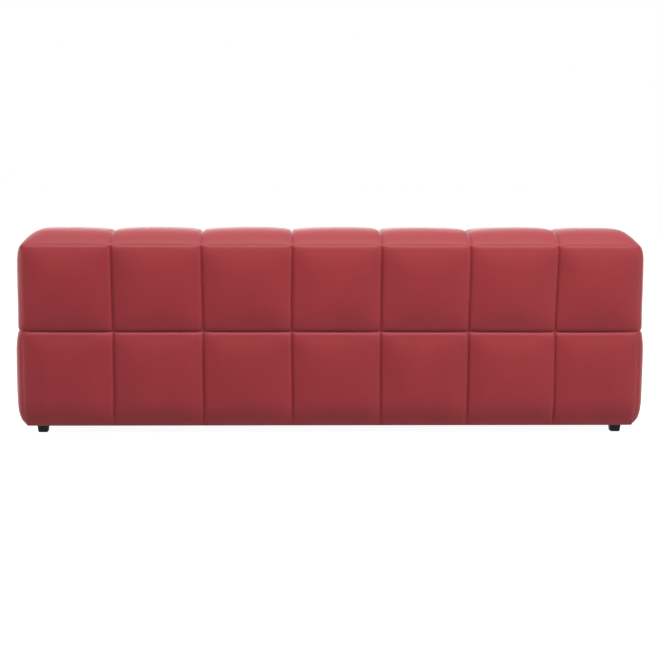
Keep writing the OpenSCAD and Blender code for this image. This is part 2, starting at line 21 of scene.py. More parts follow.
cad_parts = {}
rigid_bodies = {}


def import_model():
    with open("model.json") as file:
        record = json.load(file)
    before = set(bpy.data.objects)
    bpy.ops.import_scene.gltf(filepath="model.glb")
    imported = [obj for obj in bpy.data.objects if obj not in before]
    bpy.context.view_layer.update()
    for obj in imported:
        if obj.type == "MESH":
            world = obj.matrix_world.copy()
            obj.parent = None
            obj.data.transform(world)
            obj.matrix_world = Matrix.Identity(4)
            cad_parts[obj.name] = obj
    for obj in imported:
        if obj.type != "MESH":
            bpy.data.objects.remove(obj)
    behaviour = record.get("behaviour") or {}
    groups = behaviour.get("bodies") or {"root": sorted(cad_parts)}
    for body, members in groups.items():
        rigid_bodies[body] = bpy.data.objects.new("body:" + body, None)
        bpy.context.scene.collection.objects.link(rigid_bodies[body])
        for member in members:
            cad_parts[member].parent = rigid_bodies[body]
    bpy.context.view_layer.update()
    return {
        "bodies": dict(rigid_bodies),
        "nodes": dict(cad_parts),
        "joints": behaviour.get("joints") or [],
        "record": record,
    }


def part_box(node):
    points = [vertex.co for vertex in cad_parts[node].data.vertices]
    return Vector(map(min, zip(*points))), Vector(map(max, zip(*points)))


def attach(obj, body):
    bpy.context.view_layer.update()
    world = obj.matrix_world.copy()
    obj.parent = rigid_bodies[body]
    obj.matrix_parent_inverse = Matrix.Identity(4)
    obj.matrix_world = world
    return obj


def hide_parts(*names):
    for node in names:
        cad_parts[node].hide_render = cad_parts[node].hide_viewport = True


LOG = logging.getLogger("sofa")
# Fixes the noise by which the seams wander, so that every run gives the same sofa
NOISE_SEED = 4
# Keeps lengths that are nearly nought apart from nought
TINY = 1e-9

Point = tuple[float, float, float]
# An opening in a face: its low and high along the face's first axis, then along its second
Opening = tuple[float, float, float, float]
# The points of a face as a grid, and the grid's lines along both axes of the face
Grid = tuple[np.ndarray, np.ndarray, np.ndarray]


def linear(hex_colour: str, alpha: float = 1.0) -> tuple[float, float, float, float]:
    """Turn an sRGB hex colour into the linear colour that shaders take.

    Args:
        hex_colour: The colour as "#rrggbb".
        alpha: The opacity to carry along.

    Returns:
        The linear red, green and blue with the opacity.
    """
    channels = [int(hex_colour[i : i + 2], 16) / 255 for i in (1, 3, 5)]
    lin = [c / 12.92 if c <= 0.04045 else ((c + 0.055) / 1.055) ** 2.4 for c in channels]
    return (lin[0], lin[1], lin[2], alpha)


def per_metre(millimetres: float) -> float:
    """Give the texture scale at which a pattern has a real size in millimetres."""
    return 1000 / millimetres


# Shaders


class NodeGraph:
    """The nodes of a material or of the world, under construction."""

    def __init__(self, owner: bpy.types.Material | bpy.types.World) -> None:
        """Start with no nodes.

        Args:
            owner: The new material or world.
        """
        owner.use_nodes = True
        self.owner = owner
        self.tree = owner.node_tree
        self.tree.nodes.clear()

    def add(self, kind: str, settings: dict[str, object] | None = None,
            **inputs: object) -> bpy.types.Node:
        """Add a node with its settings, values and links.

        Args:
            kind: The node's type, without the "ShaderNode" prefix.
            settings: Attributes to set on the node. "stops" are a colour ramp's two positions,
                each with its hex colour.
            **inputs: Values, output sockets or nodes by input name, with _ for spaces. A node
                gives its first output. A name of "i" and a number is the input's position.

        Returns:
            The new node.
        """
        node = self.tree.nodes.new("ShaderNode" + kind)
        for key, value in (settings or {}).items():
            if key == "stops":
                for element, (position, colour) in zip(node.color_ramp.elements, value, strict=True):
                    element.position = position
                    element.color = linear(colour)
            else:
                setattr(node, key, value)
        for key, value in inputs.items():
            by_place = key[0] == "i" and key[1:].isdigit()
            socket = node.inputs[int(key[1:])] if by_place else node.inputs[key.replace("_", " ")]
            if isinstance(value, bpy.types.Node):
                value = value.outputs[0]
            if isinstance(value, bpy.types.NodeSocket):
                self.tree.links.new(value, socket)
            else:
                socket.default_value = value
        return node

    def close(self, shader: bpy.types.Node) -> bpy.types.Material | bpy.types.World:
        """Send a shader to the output.

        Args:
            shader: The last shader.

        Returns:
            The finished material or world.
        """
        is_world = isinstance(self.owner, bpy.types.World)
        self.add("OutputWorld" if is_world else "OutputMaterial", Surface=shader)
        return self.owner


# Finishes


@dataclass(frozen=True)
class Velvet:
    """Short-pile polyester velvet, woven, cut and brushed downwards.

    It lightens at a glancing angle and its nap makes soft lighter and darker patches. Where the
    cloth faces up, a paler colour is mixed in as painted sheen and painted light from above.
    """

    name: str = "dusty_red_velvet"
    deep: str = "#85252b"
    light: str = "#912a31"
    # A paler colour for faces that look up: painted sheen and painted light from above
    painted_top_sheen: str = "#8b3237"
    sheen: str = "#ffe4de"
    patch_mm: float = 110.0
    streak_mm: float = 20.0
    # Real pile stands about 0.3 mm apart, and is drawn coarser so that it shows
    pile_mm: float = 1.2

    def build(self) -> bpy.types.Material:
        """Build the material.

        Returns:
            The finished material.
        """
        g = NodeGraph(bpy.data.materials.new(self.name))
        where = g.add("TexCoord").outputs["Object"]
        nap = g.add("TexNoise", Vector=g.add("Mapping", Vector=where, Scale=(1, 1, 0.55)),
                    Scale=per_metre(self.patch_mm), Detail=2.0)
        streaks = g.add("TexNoise", Vector=g.add("Mapping", Vector=where, Scale=(1, 1, 0.3)),
                        Scale=per_metre(self.streak_mm), Detail=4.0, Roughness=0.6)
        pile = g.add("TexNoise", Vector=g.add("Mapping", Vector=where, Scale=(1, 1, 0.45)),
                     Scale=per_metre(self.pile_mm), Detail=2.0, Roughness=0.7)
        # Patches of nap, with the brush's streaks over them
        patches = g.add("MapRange", Value=nap, To_Min=0.0, To_Max=0.7)
        tone = g.add("Math", {"operation": "MULTIPLY_ADD"}, i0=streaks, i1=0.3, i2=patches)
        stops = ((0.25, self.deep), (0.75, self.light))
        velvet_colour = g.add("ValToRGB", {"stops": stops}, Fac=tone)
        # Painted sheen: faces that look up are mixed toward a paler colour, in place of light from
        # above and glancing sheen
        up = g.add("SeparateXYZ", Vector=g.add("NewGeometry").outputs["Normal"]).outputs["Z"]
        flat = g.add("MapRange", Value=up, From_Min=0.0, From_Max=0.7)
        colour = g.add("MixRGB", Fac=flat, Color1=velvet_colour, Color2=linear(self.painted_top_sheen))
        furrows = g.add("Bump", Height=streaks, Strength=0.12, Distance=0.0012)
        return g.close(g.add(
            "BsdfPrincipled", Base_Color=colour,
            Roughness=g.add("MapRange", Value=streaks, To_Min=0.52, To_Max=0.62),
            Specular_IOR_Level=0.28, Sheen_Weight=1.0, Sheen_Roughness=0.3,
            Sheen_Tint=linear(self.sheen),
            Normal=g.add("Bump", Height=pile, Strength=0.25, Distance=0.0004, Normal=furrows)))


@dataclass(frozen=True)
class MouldedPlastic:
    """Black polypropylene, moulded in a spark-eroded mould, with scuffed and paler places."""

    name: str = "black_moulded_plastic"
    colour: str = "#050607"
    worn: str = "#121517"
    scuff_mm: float = 6.0
    # The mould's grain is about 0.1 mm, and is drawn coarser so that it shows
    grain_mm: float = 0.6

    def build(self) -> bpy.types.Material:
        """Build the material.

        Returns:
            The finished material.
        """
        g = NodeGraph(bpy.data.materials.new(self.name))
        where = g.add("TexCoord").outputs["Object"]
        scuff = g.add("TexNoise", Vector=where, Scale=per_metre(self.scuff_mm), Detail=4.0)
        grain = g.add("TexNoise", Vector=where, Scale=per_metre(self.grain_mm), Detail=2.0)
        stops = ((0.45, self.colour), (0.8, self.worn))
        return g.close(g.add(
            "BsdfPrincipled", Base_Color=g.add("ValToRGB", {"stops": stops}, Fac=scuff),
            Roughness=g.add("MapRange", Value=scuff, To_Min=0.48, To_Max=0.62),
            Specular_IOR_Level=0.2,
            Normal=g.add("Bump", Height=grain, Strength=0.3, Distance=0.0002)))


@dataclass(frozen=True)
class PlatedSteel:
    """Steel, zinc-plated or drawn, whose skin is faintly clouded and scratched along its length."""

    name: str
    colour: str = "#b9bcc0"
    cloud: str = "#9b9fa4"
    cloud_mm: float = 8.0
    scratch_mm: float = 1.5
    gloss: tuple[float, float] = (0.26, 0.42)

    def build(self) -> bpy.types.Material:
        """Build the material.

        Returns:
            The finished material.
        """
        g = NodeGraph(bpy.data.materials.new(self.name))
        where = g.add("TexCoord").outputs["Object"]
        cloud = g.add("TexNoise", Vector=where, Scale=per_metre(self.cloud_mm), Detail=3.0)
        scratch = g.add("TexNoise", Vector=g.add("Mapping", Vector=where, Scale=(1, 1, 0.08)),
                        Scale=per_metre(self.scratch_mm), Detail=2.0)
        smooth, dull = self.gloss
        stops = ((0.3, self.cloud), (0.7, self.colour))
        return g.close(g.add(
            "BsdfPrincipled", Base_Color=g.add("ValToRGB", {"stops": stops}, Fac=cloud),
            Metallic=1.0, Roughness=g.add("MapRange", Value=cloud, To_Min=smooth, To_Max=dull),
            Normal=g.add("Bump", Height=scratch, Strength=0.15, Distance=0.0001)))


@dataclass(frozen=True)
class Timber:
    """Planed, peeled or pressed wood: growth rings drawn out along the grain, with short pores."""

    name: str
    pale: str
    dark: str
    along: Point = (0.06, 1, 1)
    ring_mm: float = 11.0
    pores_to_ring: int = 9
    rough: tuple[float, float] = (0.55, 0.75)

    def build(self) -> bpy.types.Material:
        """Build the material.

        Returns:
            The finished material.
        """
        g = NodeGraph(bpy.data.materials.new(self.name))
        where = g.add("TexCoord").outputs["Object"]
        grain = g.add("Mapping", Vector=where, Scale=self.along)
        rings = g.add("TexNoise", Vector=grain, Scale=per_metre(self.ring_mm), Detail=3.0,
                      Roughness=0.6)
        pores = g.add("TexNoise", Vector=grain, Scale=per_metre(self.ring_mm / self.pores_to_ring),
                      Detail=2.0)
        smooth, dull = self.rough
        stops = ((0.35, self.dark), (0.6, self.pale))
        ridges = g.add("Bump", Height=rings, Strength=0.2, Distance=0.0006)
        return g.close(g.add(
            "BsdfPrincipled", Base_Color=g.add("ValToRGB", {"stops": stops}, Fac=rings),
            Roughness=g.add("MapRange", Value=rings, To_Min=smooth, To_Max=dull),
            Normal=g.add("Bump", Height=pores, Strength=0.25, Distance=0.0003, Normal=ridges)))


@dataclass(frozen=True)
class Foam:
    """Open-cell polyurethane foam, cut from a block: pale, dull and pitted by its cells."""

    name: str = "seating_foam"
    colour: str = "#efe8d2"
    shade: str = "#dccfac"
    cell_mm: float = 1.8
    stain_mm: float = 90.0

    def build(self) -> bpy.types.Material:
        """Build the material.

        Returns:
            The finished material.
        """
        g = NodeGraph(bpy.data.materials.new(self.name))
        where = g.add("TexCoord").outputs["Object"]
        cells = g.add("TexVoronoi", Vector=where, Scale=per_metre(self.cell_mm))
        stain = g.add("TexNoise", Vector=where, Scale=per_metre(self.stain_mm), Detail=3.0)
        stops = ((0.35, self.shade), (0.7, self.colour))
        return g.close(g.add(
            "BsdfPrincipled", Base_Color=g.add("ValToRGB", {"stops": stops}, Fac=stain),
            Roughness=0.95, Specular_IOR_Level=0.1,
            Normal=g.add("Bump", Height=cells, Strength=0.5, Distance=0.0008)))


@dataclass(frozen=True)
class Fibre:
    """Matted or woven fibres in one dull colour with flecks: felt, dust cloth or kraft paper.

    Real fibres are far finer, and are drawn as coarse as they need to show.
    """

    name: str
    colour: str
    fleck: str
    fibre_mm: float = 2.0
    along: Point = (1, 1, 1)
    depth: float = 0.0005
    fibres_to_cloud: int = 22

    def build(self) -> bpy.types.Material:
        """Build the material.

        Returns:
            The finished material.
        """
        g = NodeGraph(bpy.data.materials.new(self.name))
        where = g.add("TexCoord").outputs["Object"]
        mat = g.add("TexNoise", Vector=g.add("Mapping", Vector=where, Scale=self.along),
                    Scale=per_metre(self.fibre_mm), Detail=4.0, Roughness=0.7)
        cloud = g.add("TexNoise", Vector=where, Detail=2.0,
                      Scale=per_metre(self.fibre_mm * self.fibres_to_cloud))
        shade = g.add("MapRange", Value=cloud, To_Min=0.0, To_Max=0.4)
        tone = g.add("Math", {"operation": "MULTIPLY_ADD"}, i0=mat, i1=0.6, i2=shade)
        stops = ((0.3, self.colour), (0.75, self.fleck))
        return g.close(g.add(
            "BsdfPrincipled", Base_Color=g.add("ValToRGB", {"stops": stops}, Fac=tone),
            Roughness=0.92, Specular_IOR_Level=0.15,
            Normal=g.add("Bump", Height=mat, Strength=0.5, Distance=self.depth)))


@dataclass(frozen=True)
class Webbing:
    """Elastic strap, woven in ribs with paler rubber threads that show across them."""

    name: str = "elastic_webbing"
    colour: str = "#26262a"
    thread: str = "#4a4a50"
    rib_mm: float = 3.5
    threads_to_rib: float = 1.5

    def build(self) -> bpy.types.Material:
        """Build the material.

        Returns:
            The finished material.
        """
        g = NodeGraph(bpy.data.materials.new(self.name))
        where = g.add("TexCoord").outputs["Object"]
        # At a scale of 1 the wave texture has 20 bands in 2 pi metres
        ribs = 2 * math.pi / 20 * per_metre(self.rib_mm)
        along = g.add("TexWave", {"bands_direction": "X"}, Vector=where, Scale=ribs,
                      Distortion=0.4).outputs["Fac"]
        across = g.add("TexWave", {"bands_direction": "Z"}, Vector=where,
                       Scale=ribs * self.threads_to_rib).outputs["Fac"]
        woven = g.add("Math", {"operation": "MULTIPLY"}, i0=along, i1=across)
        stops = ((0.1, self.colour), (0.9, self.thread))
        return g.close(g.add(
            "BsdfPrincipled", Base_Color=g.add("ValToRGB", {"stops": stops}, Fac=woven),
            Roughness=0.85, Normal=g.add("Bump", Height=woven, Strength=0.5, Distance=0.0005)))


@dataclass(frozen=True)
class StudioWhite:
    """Matt painted floor that renders white where no shadow falls on it."""

    name: str = "studio_floor"
    paint: str = "#b0b0b0"
    fill: float = 0.95

    def build(self) -> bpy.types.Material:
        """Build the material.

        Returns:
            The finished material.
        """
        g = NodeGraph(bpy.data.materials.new(self.name))
        rays = g.add("LightPath").outputs
        seen = g.add("Math", {"operation": "MAXIMUM"}, i0=rays["Is Camera Ray"],
                     i1=rays["Is Glossy Ray"])
        level = g.add("Math", {"operation": "MULTIPLY"}, i0=seen, i1=self.fill)
        return g.close(g.add("AddShader", i0=g.add("BsdfDiffuse", Color=linear(self.paint)),
                             i1=g.add("Emission", Color=(1, 1, 1, 1), Strength=level)))


# Soft forms


class Side(Enum):
    """The faces of a block, as the axis that they face and the direction along it."""

    LEFT = (0, -1)
    RIGHT = (0, 1)
    FRONT = (1, -1)
    REAR = (1, 1)
    TOP = (2, 1)

    @property
    def axis(self) -> int:
        """The axis that the face looks along."""
        return self.value[0]

    @property
    def sign(self) -> int:
        """The direction along that axis."""
        return self.value[1]

    @property
    def across(self) -> tuple[int, int]:
        """The two axes that lie in the face."""
        return ((1, 2), (0, 2), (0, 1))[self.axis]


@dataclass(frozen=True)
class Sewing:
    """How the velvet runs into its seams."""

    # How far the seams along the block's edges are drawn in, and how far from an edge that
    # fades, which is sooner within top_reach of the top
    edge_depth: float = 0.003575
    edge_blend: float = 0.009
    top_blend: float = 0.0055
    top_reach: float = 0.03

    # How high a tuft stands over its seams, and the shares of that height that come from a steep
    # lip and a slower shoulder, each with its length, and from a belly across the whole tuft
    quilting: float = 0.0245
    lip: tuple[float, float] = (0.55, 0.006)
    shoulder: tuple[float, float] = (0.2, 0.028)
    belly: float = 0.1
    # How much longer lip and shoulder are beside an outer edge
    loose_edge: float = 2.4
    # The length over which the pad under the tufts rises from the outer edges
    broad: float = 0.028
    # The firmer left and right faces have this share of both
    firm_quilting: float = 0.75
    firm_broad: float = 0.6
    # The part of the fullness that the cloth simulation gives
    fill: float = 0.006

    # The dimple where seams cross, which fades toward the outer edges
    dimple: float = 0.0035
    dimple_radius: float = 0.026
    dimple_inset: float = 0.03

    # The radius of a face that is pressed flat, and of the rim of a flat one
    press_radius: float = 0.02
    rim_radius: float = 0.012

    # The gathers square to a seam: height, pitch, reach, how fast they die away within it, and
    # where they start from a seam and from an outer edge
    ripple: float = 0.0007
    ripple_length: float = 0.021
    ripple_reach: float = 0.03
    ripple_decay: float = 2.2
    ripple_rise: float = 0.006
    ripple_inset: float = 0.015
    # Two slow waves, in radians for each metre, keep the gathers uneven: how much they sway them,
    # their phases along the face's two axes, and what the next face's axis adds
    ripple_beats: tuple[float, float] = (9.1, 23.7)
    ripple_sway: float = 1.9
    ripple_phases: tuple[float, float] = (1.7, 4.1)
    ripple_turn: float = 2.3
    # The share of a gather's height that is always there, and the share that the slow waves add
    ripple_share: tuple[float, float] = (0.55, 0.45)

    # How far an upright corner seam sits back and how fast that fades, and what the top adds
    corner: tuple[float, float] = (0.003, 0.02)
    corner_top: tuple[float, float] = (0.7, 0.03)

    # How far a seam wanders, how slowly, and how near the ends and the floor edge it is held
    wander: float = 0.003
    wander_pitch: Point = (3.1, 3.1, 3.4)
    wander_ends: float = 0.1
    wander_rise: float = 0.1
    wander_rim: float = 0.08
    # The share of its height that a seam still wanders on the rim
    wander_rim_share: float = 0.35


@dataclass(frozen=True)
class Filling:
    """The cloth simulation that swells the tufts: the seams are held while the wadding presses."""

    # Pressure, mass and stiffness are in the cloth modifier's own units
    pressure: float = 4.0
    frames: int = 20
    quality: int = 4
    # The spacing of the coarse grid, and how far a point may move
    grid: float = 0.022
    limit: float = 0.022
    mass: float = 0.3
    stretch: float = 15.0
    shear: float = 5.0
    bend: float = 1.5
    # The percentile of the movements that is fitted to the sewing's fill
    typical: float = 90.0

    def swell(self, points: np.ndarray, faces: list[tuple[int, ...]], held: np.ndarray) -> np.ndarray:
        """Let a cover swell.

        Args:
            points: Its points as rows.
            faces: Its faces.
            held: Which points are sewn down.

        Returns:
            How far each point moves.
        """
        mesh = bpy.data.meshes.new("swelling")
        mesh.from_pydata([tuple(p) for p in points], [], faces)
        cloth = bpy.data.objects.new("swelling", mesh)
        scene = bpy.context.scene
        scene.collection.objects.link(cloth)
        group = cloth.vertex_groups.new(name="sewn")
        group.add([int(k) for k in np.flatnonzero(held)], 1.0, "REPLACE")
        modifier = cloth.modifiers.new("swelling", "CLOTH")
        settings = modifier.settings
        settings.vertex_group_mass = group.name
        settings.quality = self.quality
        settings.mass = self.mass
        settings.tension_stiffness = settings.compression_stiffness = self.stretch
        settings.shear_stiffness = self.shear
        settings.bending_stiffness = self.bend
        settings.use_pressure = True
        settings.uniform_pressure_force = self.pressure
        settings.effector_weights.gravity = 0.0
        modifier.collision_settings.use_collision = False
        modifier.point_cache.frame_start, modifier.point_cache.frame_end = 1, self.frames
        for frame in range(1, self.frames + 1):
            scene.frame_set(frame)
        solved = cloth.evaluated_get(bpy.context.evaluated_depsgraph_get())
        result = np.empty(len(points) * 3)
        solved.data.vertices.foreach_get("co", result)
        moved = result.reshape(-1, 3) - points
        scene.frame_set(1)
        bpy.data.objects.remove(cloth, do_unlink=True)
        bpy.data.meshes.remove(mesh)
        moved[held] = 0.0
        length = np.linalg.norm(moved, axis=1, keepdims=True)
        return moved * np.minimum(1.0, self.limit / np.maximum(length, TINY))


@dataclass(frozen=True)
class Panel:
    """One face of a block as a grid, with the place of each point among the seams.

    Along each of the face's two axes, "near" is the distance to the nearer seam, "cell" the place
    in the tuft from 0 to 1, and "out" the distance to the block's nearer outer edge.
    """

    side: Side
    a_line: np.ndarray
    b_line: np.ndarray
    a: np.ndarray
    b: np.ndarray
    near_a: np.ndarray
    cell_a: np.ndarray
    out_a: np.ndarray
    near_b: np.ndarray
    cell_b: np.ndarray
    out_b: np.ndarray


@dataclass
class TuftedBlock:
    """A closed upholstered block, sewn into square tufts on every side that shows."""

    name: str
    body: str
    node: str
    # The planes of the seams along each axis
    seams: tuple[Sequence[float], Sequence[float], Sequence[float]]
    # How far each face swells: 0 leaves it flat
    puffs: dict[Side, float]
    # The extra height of the top, and the lengths over which it rises along X and Y
    crown: float
    crown_run: tuple[float, float] = (0.088, 0.105)
    # How much of the floor edge's roll each face has, and the roll's depth, height and reach
    rolls: dict[Side, float] = field(default_factory=dict)
    roll_in: float = 0.02
    roll_height: float = 0.095
    roll_reach: float = 0.15
    # The faces that are pressed flat below the middle seam, and the brackets' openings
    pressed: frozenset[Side] = frozenset()
    windows: dict[Side, list[Opening]] = field(default_factory=dict)
    # The low and high in X and in Y of the frame, which the floor edge's fold reaches
    cavity: tuple[float, float, float, float] = (0, 0, 0, 0)
    # How far each inner seam is off its plane at the floor edge, the middle seam and the top
    shifts: tuple[Point, ...] = ()
    # The upright corners whose seam sits back
    corners: tuple[tuple[Side, Side], ...] = ()
    # How much fuller the lower row stands on the left and right, and half the height of the change
    flare: float = 0.0
    flare_fade: float = 0.08
    seed: float = 0.0
    sewing: Sewing = Sewing()
    filling: Filling = Filling()
    # The velvet's thickness, with its backing
    skin: float = 0.004
    # The hem: how far above the floor edge it starts, and how high it is turned up
    hem_rise: float = 0.0003
    hem_height: float = 0.03

    # The grid lines' distances from each seam, and how far apart they are between
    near_seam = (0.0, 0.0012, 0.0032, 0.0062, 0.0102, 0.0152, 0.022, 0.031)
    panel_step = 0.0165
    # Distances below which places, points of two faces, and grid lines count as one
    same = 1e-6
    weld = 2e-6
    merge = 1e-5
    # How far above the floor edge its open edges may lie
    floor_band = 0.001

    def edge(self, side: Side) -> float:
        """Give the plane of the seams that border a face."""
        return self.seams[side.axis][0 if side.sign < 0 else -1]

    def stations(self, axis: int, even: bool = False) -> np.ndarray:
        """Give the grid lines along an axis, dense beside each seam.

        Args:
            axis: The axis to divide.
            even: Whether the lines are evenly spaced and coarse instead.

        Returns:
            The sorted positions.
        """
        lines = list(self.seams[axis])
        if even:
            parts = [np.linspace(low, high, max(2, round((high - low) / self.filling.grid)) + 1)[:-1]
                     for low, high in zip(lines, lines[1:], strict=False)]
            return np.append(np.concatenate(parts), lines[-1])
        marks = set(lines)
        for low, high in zip(lines, lines[1:], strict=False):
            for offset in self.near_seam:
                marks.update((low + offset, high - offset))
            start, end = low + self.near_seam[-1], high - self.near_seam[-1]
            steps = max(2, round((end - start) / self.panel_step))
            marks.update(start + (end - start) * k / steps for k in range(steps + 1))
        for side, boxes in self.windows.items():
            for box in boxes:
                for k, other in enumerate(side.across):
                    if other == axis:
                        marks.update(box[2 * k : 2 * k + 2])
        result = sorted(marks)
        kept = [result[0]]
        for value in result[1:]:
            if value - kept[-1] > self.merge:
                kept.append(value)
        return np.array(kept)

    def to_seams(self, axis: int, values: np.ndarray) -> tuple[np.ndarray, np.ndarray, np.ndarray]:
        """Measure each position against the seams on both sides of it.

        Args:
            axis: The axis along which the seams are spaced.
            values: The positions.

        Returns:
            The distance to the nearer seam, the place in the cell from 0 to 1, and the distance
            to the nearer outer edge of the block.
        """
        lines = np.array(self.seams[axis])
        cell = np.clip(np.searchsorted(lines, values, side="right") - 1, 0, len(lines) - 2)
        low, high = lines[cell], lines[cell + 1]
        near = np.minimum(values - low, high - values)
        return near, (values - low) / (high - low), np.minimum(values - lines[0], lines[-1] - values)

    def panel(self, side: Side, even: bool) -> Panel:
        """Lay the grid over one face.

        Args:
            side: The face.
            even: Whether to use the coarse, even grid.

        Returns:
            The face's grid and measures.
        """
        a_axis, b_axis = side.across
        a_line, b_line = self.stations(a_axis, even), self.stations(b_axis, even)
        a, b = np.meshgrid(a_line, b_line, indexing="ij")
        return Panel(side, a_line, b_line, a, b, *self.to_seams(a_axis, a), *self.to_seams(b_axis, b))

    def swell(self, near: np.ndarray, cell: np.ndarray, out: np.ndarray) -> np.ndarray:
        """Give how full a tuft stands across one of its widths: 0 on a seam, 1 in the middle.

        Args:
            near: Distance to the nearer seam.
            cell: Place in the cell, from 0 to 1.
            out: Distance to the nearer outer edge, whose seam is looser than the inner ones.

        Returns:
            The fullness.
        """
        sew = self.sewing
        total = sew.belly * (1 - (2 * cell - 1) ** 2)
        loose = np.where(out <= near + TINY, sew.loose_edge, 1.0)
        for share, length in (sew.lip, sew.shoulder):
            total = total + share * (1 - np.exp(-near / (length * loose)))
        return total / (sew.belly + sew.lip[0] + sew.shoulder[0])

    @staticmethod
    def dip(distance: np.ndarray, radius: float) -> np.ndarray:
        """Give the quarter-round dip beside a seam: 1 on the seam, 0 from the radius out."""
        away = np.clip(1 - distance / radius, 0, 1)
        return 1 - np.sqrt(np.clip(1 - away**2, 0, 1))

    @staticmethod
    def ease(distance: np.ndarray, run: float) -> np.ndarray:
        """Give a rise that starts steep and levels out: 0 at no distance, 1 from the run out."""
        return 1 - (1 - np.clip(distance / run, 0, 1)) ** 2

    def face(self, side: Side, even: bool = False) -> Grid:
        """Shape one face of the block.

        Args:
            side: The face.
            even: Whether to use the coarse, even grid.

        Returns:
            The points as a grid, the grid lines along its first axis and along its second.
        """
        panel = self.panel(side, even)
        a_axis, b_axis = side.across
        points = np.zeros((*panel.a.shape, 3))
        points[..., a_axis], points[..., b_axis] = panel.a, panel.b
        points[..., side.axis] = self.edge(side) + side.sign * self.relief(panel)
        self.draw_edges(panel, points)
        if self.puffs[side] > 0:
            points[..., side.axis] -= side.sign * self.crossings(panel)
        return points, panel.a_line, panel.b_line

    def relief(self, panel: Panel) -> np.ndarray:
        """Give how far a face stands out from the plane of its seams.

        Args:
            panel: The face.

        Returns:
            The height of each point.
        """
        sew, side, puff = self.sewing, panel.side, self.puffs[panel.side]
        if puff == 0:
            radius = sew.rim_radius
            rim = np.maximum(self.dip(panel.out_a, radius), self.dip(panel.out_b, radius))
            return -rim * sew.edge_depth
        firm = side in (Side.LEFT, Side.RIGHT)
        if firm:
            top = self.seams[2][1] + self.flare_fade
            low = np.clip((top - panel.b) / (2 * self.flare_fade), 0, 1)
            puff = puff + self.flare * low * low * (3 - 2 * low)
        # The pad under the face swells from edge to edge, and the quilting adds its own tufts
        broad = sew.broad * (sew.firm_broad if firm else 1.0)
        pad = (1 - np.exp(-panel.out_a / broad)) * (1 - np.exp(-panel.out_b / broad))
        full = (self.swell(panel.near_a, panel.cell_a, panel.out_a)
                * self.swell(panel.near_b, panel.cell_b, panel.out_b))
        later = sew.fill
        quilting = sew.quilting * (sew.firm_quilting if firm else 1.0) - later
        height = pad * (puff - later - quilting + sew.edge_depth) + full * quilting - sew.edge_depth
        if side in self.pressed:
            return self.press(panel, height, puff)
        if side is Side.TOP:
            run_x, run_y = self.crown_run
            rise = self.ease(panel.out_a, run_x) * self.ease(panel.out_b, run_y)
            height = height + self.crown * rise
        inner = np.clip(np.minimum(panel.out_a, panel.out_b) / sew.ripple_inset, 0, 1)
        return height + self.ripples(panel) * inner

    def press(self, panel: Panel, height: np.ndarray, puff: np.ndarray | float) -> np.ndarray:
        """Flatten a face below its middle seam, where it stands against another block.

        Args:
            panel: The face.
            height: How far it would stand out.
            puff: How far the flat part stands out.

        Returns:
            The height of each point.
        """
        sew = self.sewing
        middle = self.seams[2][1]
        level = height[:, np.argmin(np.abs(panel.b_line - middle))][:, None]
        rise = 1 - self.dip(np.maximum(middle - panel.b, 0), sew.press_radius)
        flat = level + (puff - level) * rise * (1 - self.dip(panel.out_a, sew.rim_radius))
        return np.where(panel.b < middle - self.same, flat, height)

    def draw_edges(self, panel: Panel, points: np.ndarray) -> None:
        """Carry the dip of each neighbouring face over the shared edge, tighter along the top.

        Args:
            panel: The face.
            points: Its points, which are moved.
        """
        sew = self.sewing
        on_top = panel.side is Side.TOP
        below = np.zeros_like(panel.a) if on_top else np.clip(self.edge(Side.TOP) - panel.b, 0, None)
        tight = np.exp(-below / sew.top_reach)
        a_axis, b_axis = panel.side.across
        for axis, value, out in ((a_axis, panel.a, panel.out_a), (b_axis, panel.b, panel.out_b)):
            lines = self.seams[axis]
            outward = np.where(value - lines[0] < lines[-1] - value, -1.0, 1.0)
            blend = sew.edge_blend + (sew.top_blend - sew.edge_blend) * (1.0 if axis == 2 else tight)
            pull = np.exp(-out / blend) * sew.edge_depth
            if axis == 2:
                pull = np.where(outward < 0, 0.0, pull)
            points[..., axis] -= outward * pull

    def crossings(self, panel: Panel) -> np.ndarray:
        """Give how much deeper seams that cross pull the velvet.

        Args:
            panel: The face.

        Returns:
            The depth of each point.
        """
        sew = self.sewing
        deep = sew.dimple * np.exp(-(panel.near_a**2 + panel.near_b**2) / sew.dimple_radius**2)
        deep = deep * np.clip(np.minimum(panel.out_a, panel.out_b) / sew.dimple_inset, 0, 1)
        if panel.side in self.pressed:
            deep = np.where(panel.b < self.seams[2][1], 0.0, deep)
        return deep

    def ripples(self, panel: Panel) -> np.ndarray:
        """Give the small gathers that run square to a seam.

        Args:
            panel: The face.

        Returns:
            The height to add.
        """
        sew = self.sewing
        first, second = sew.ripple_beats
        base, beat = sew.ripple_share
        total = np.zeros_like(panel.a)
        runs = ((panel.b, panel.near_a), (panel.a, panel.near_b))
        for (along, near), phase in zip(runs, sew.ripple_phases, strict=True):
            slow = np.sin(along * first + phase + self.seed) + np.sin(along * second + 2 * phase)
            wave = np.sin(2 * math.pi * along / sew.ripple_length + sew.ripple_sway * slow
                          + panel.side.axis * sew.ripple_turn)
            fade = np.exp(-near / sew.ripple_reach * sew.ripple_decay)
            rise = np.clip(near / sew.ripple_rise, 0, 1) * fade
            total += sew.ripple * wave * rise * np.clip(base + beat * slow, 0, 1)
        return total

    def settle(self, points: np.ndarray) -> np.ndarray:
        """Roll the block in at the floor, and let its seams sit as sewn ones do.

        Args:
            points: Points as rows.

        Returns:
            The moved points.
        """
        moved = points.copy()
        up = points[:, 2] - self.seams[2][0]
        inset = self.roll_in * (1 - np.clip(up / self.roll_height, 0, 1)) ** 2
        for side, share in self.rolls.items():
            away = np.abs(points[:, side.axis] - self.edge(side))
            fade = np.clip(1 - away / self.roll_reach, 0, 1) ** 2
            moved[:, side.axis] -= side.sign * share * inset * fade
        if self.shifts:
            moved[:, 0] += self.shifted(points)
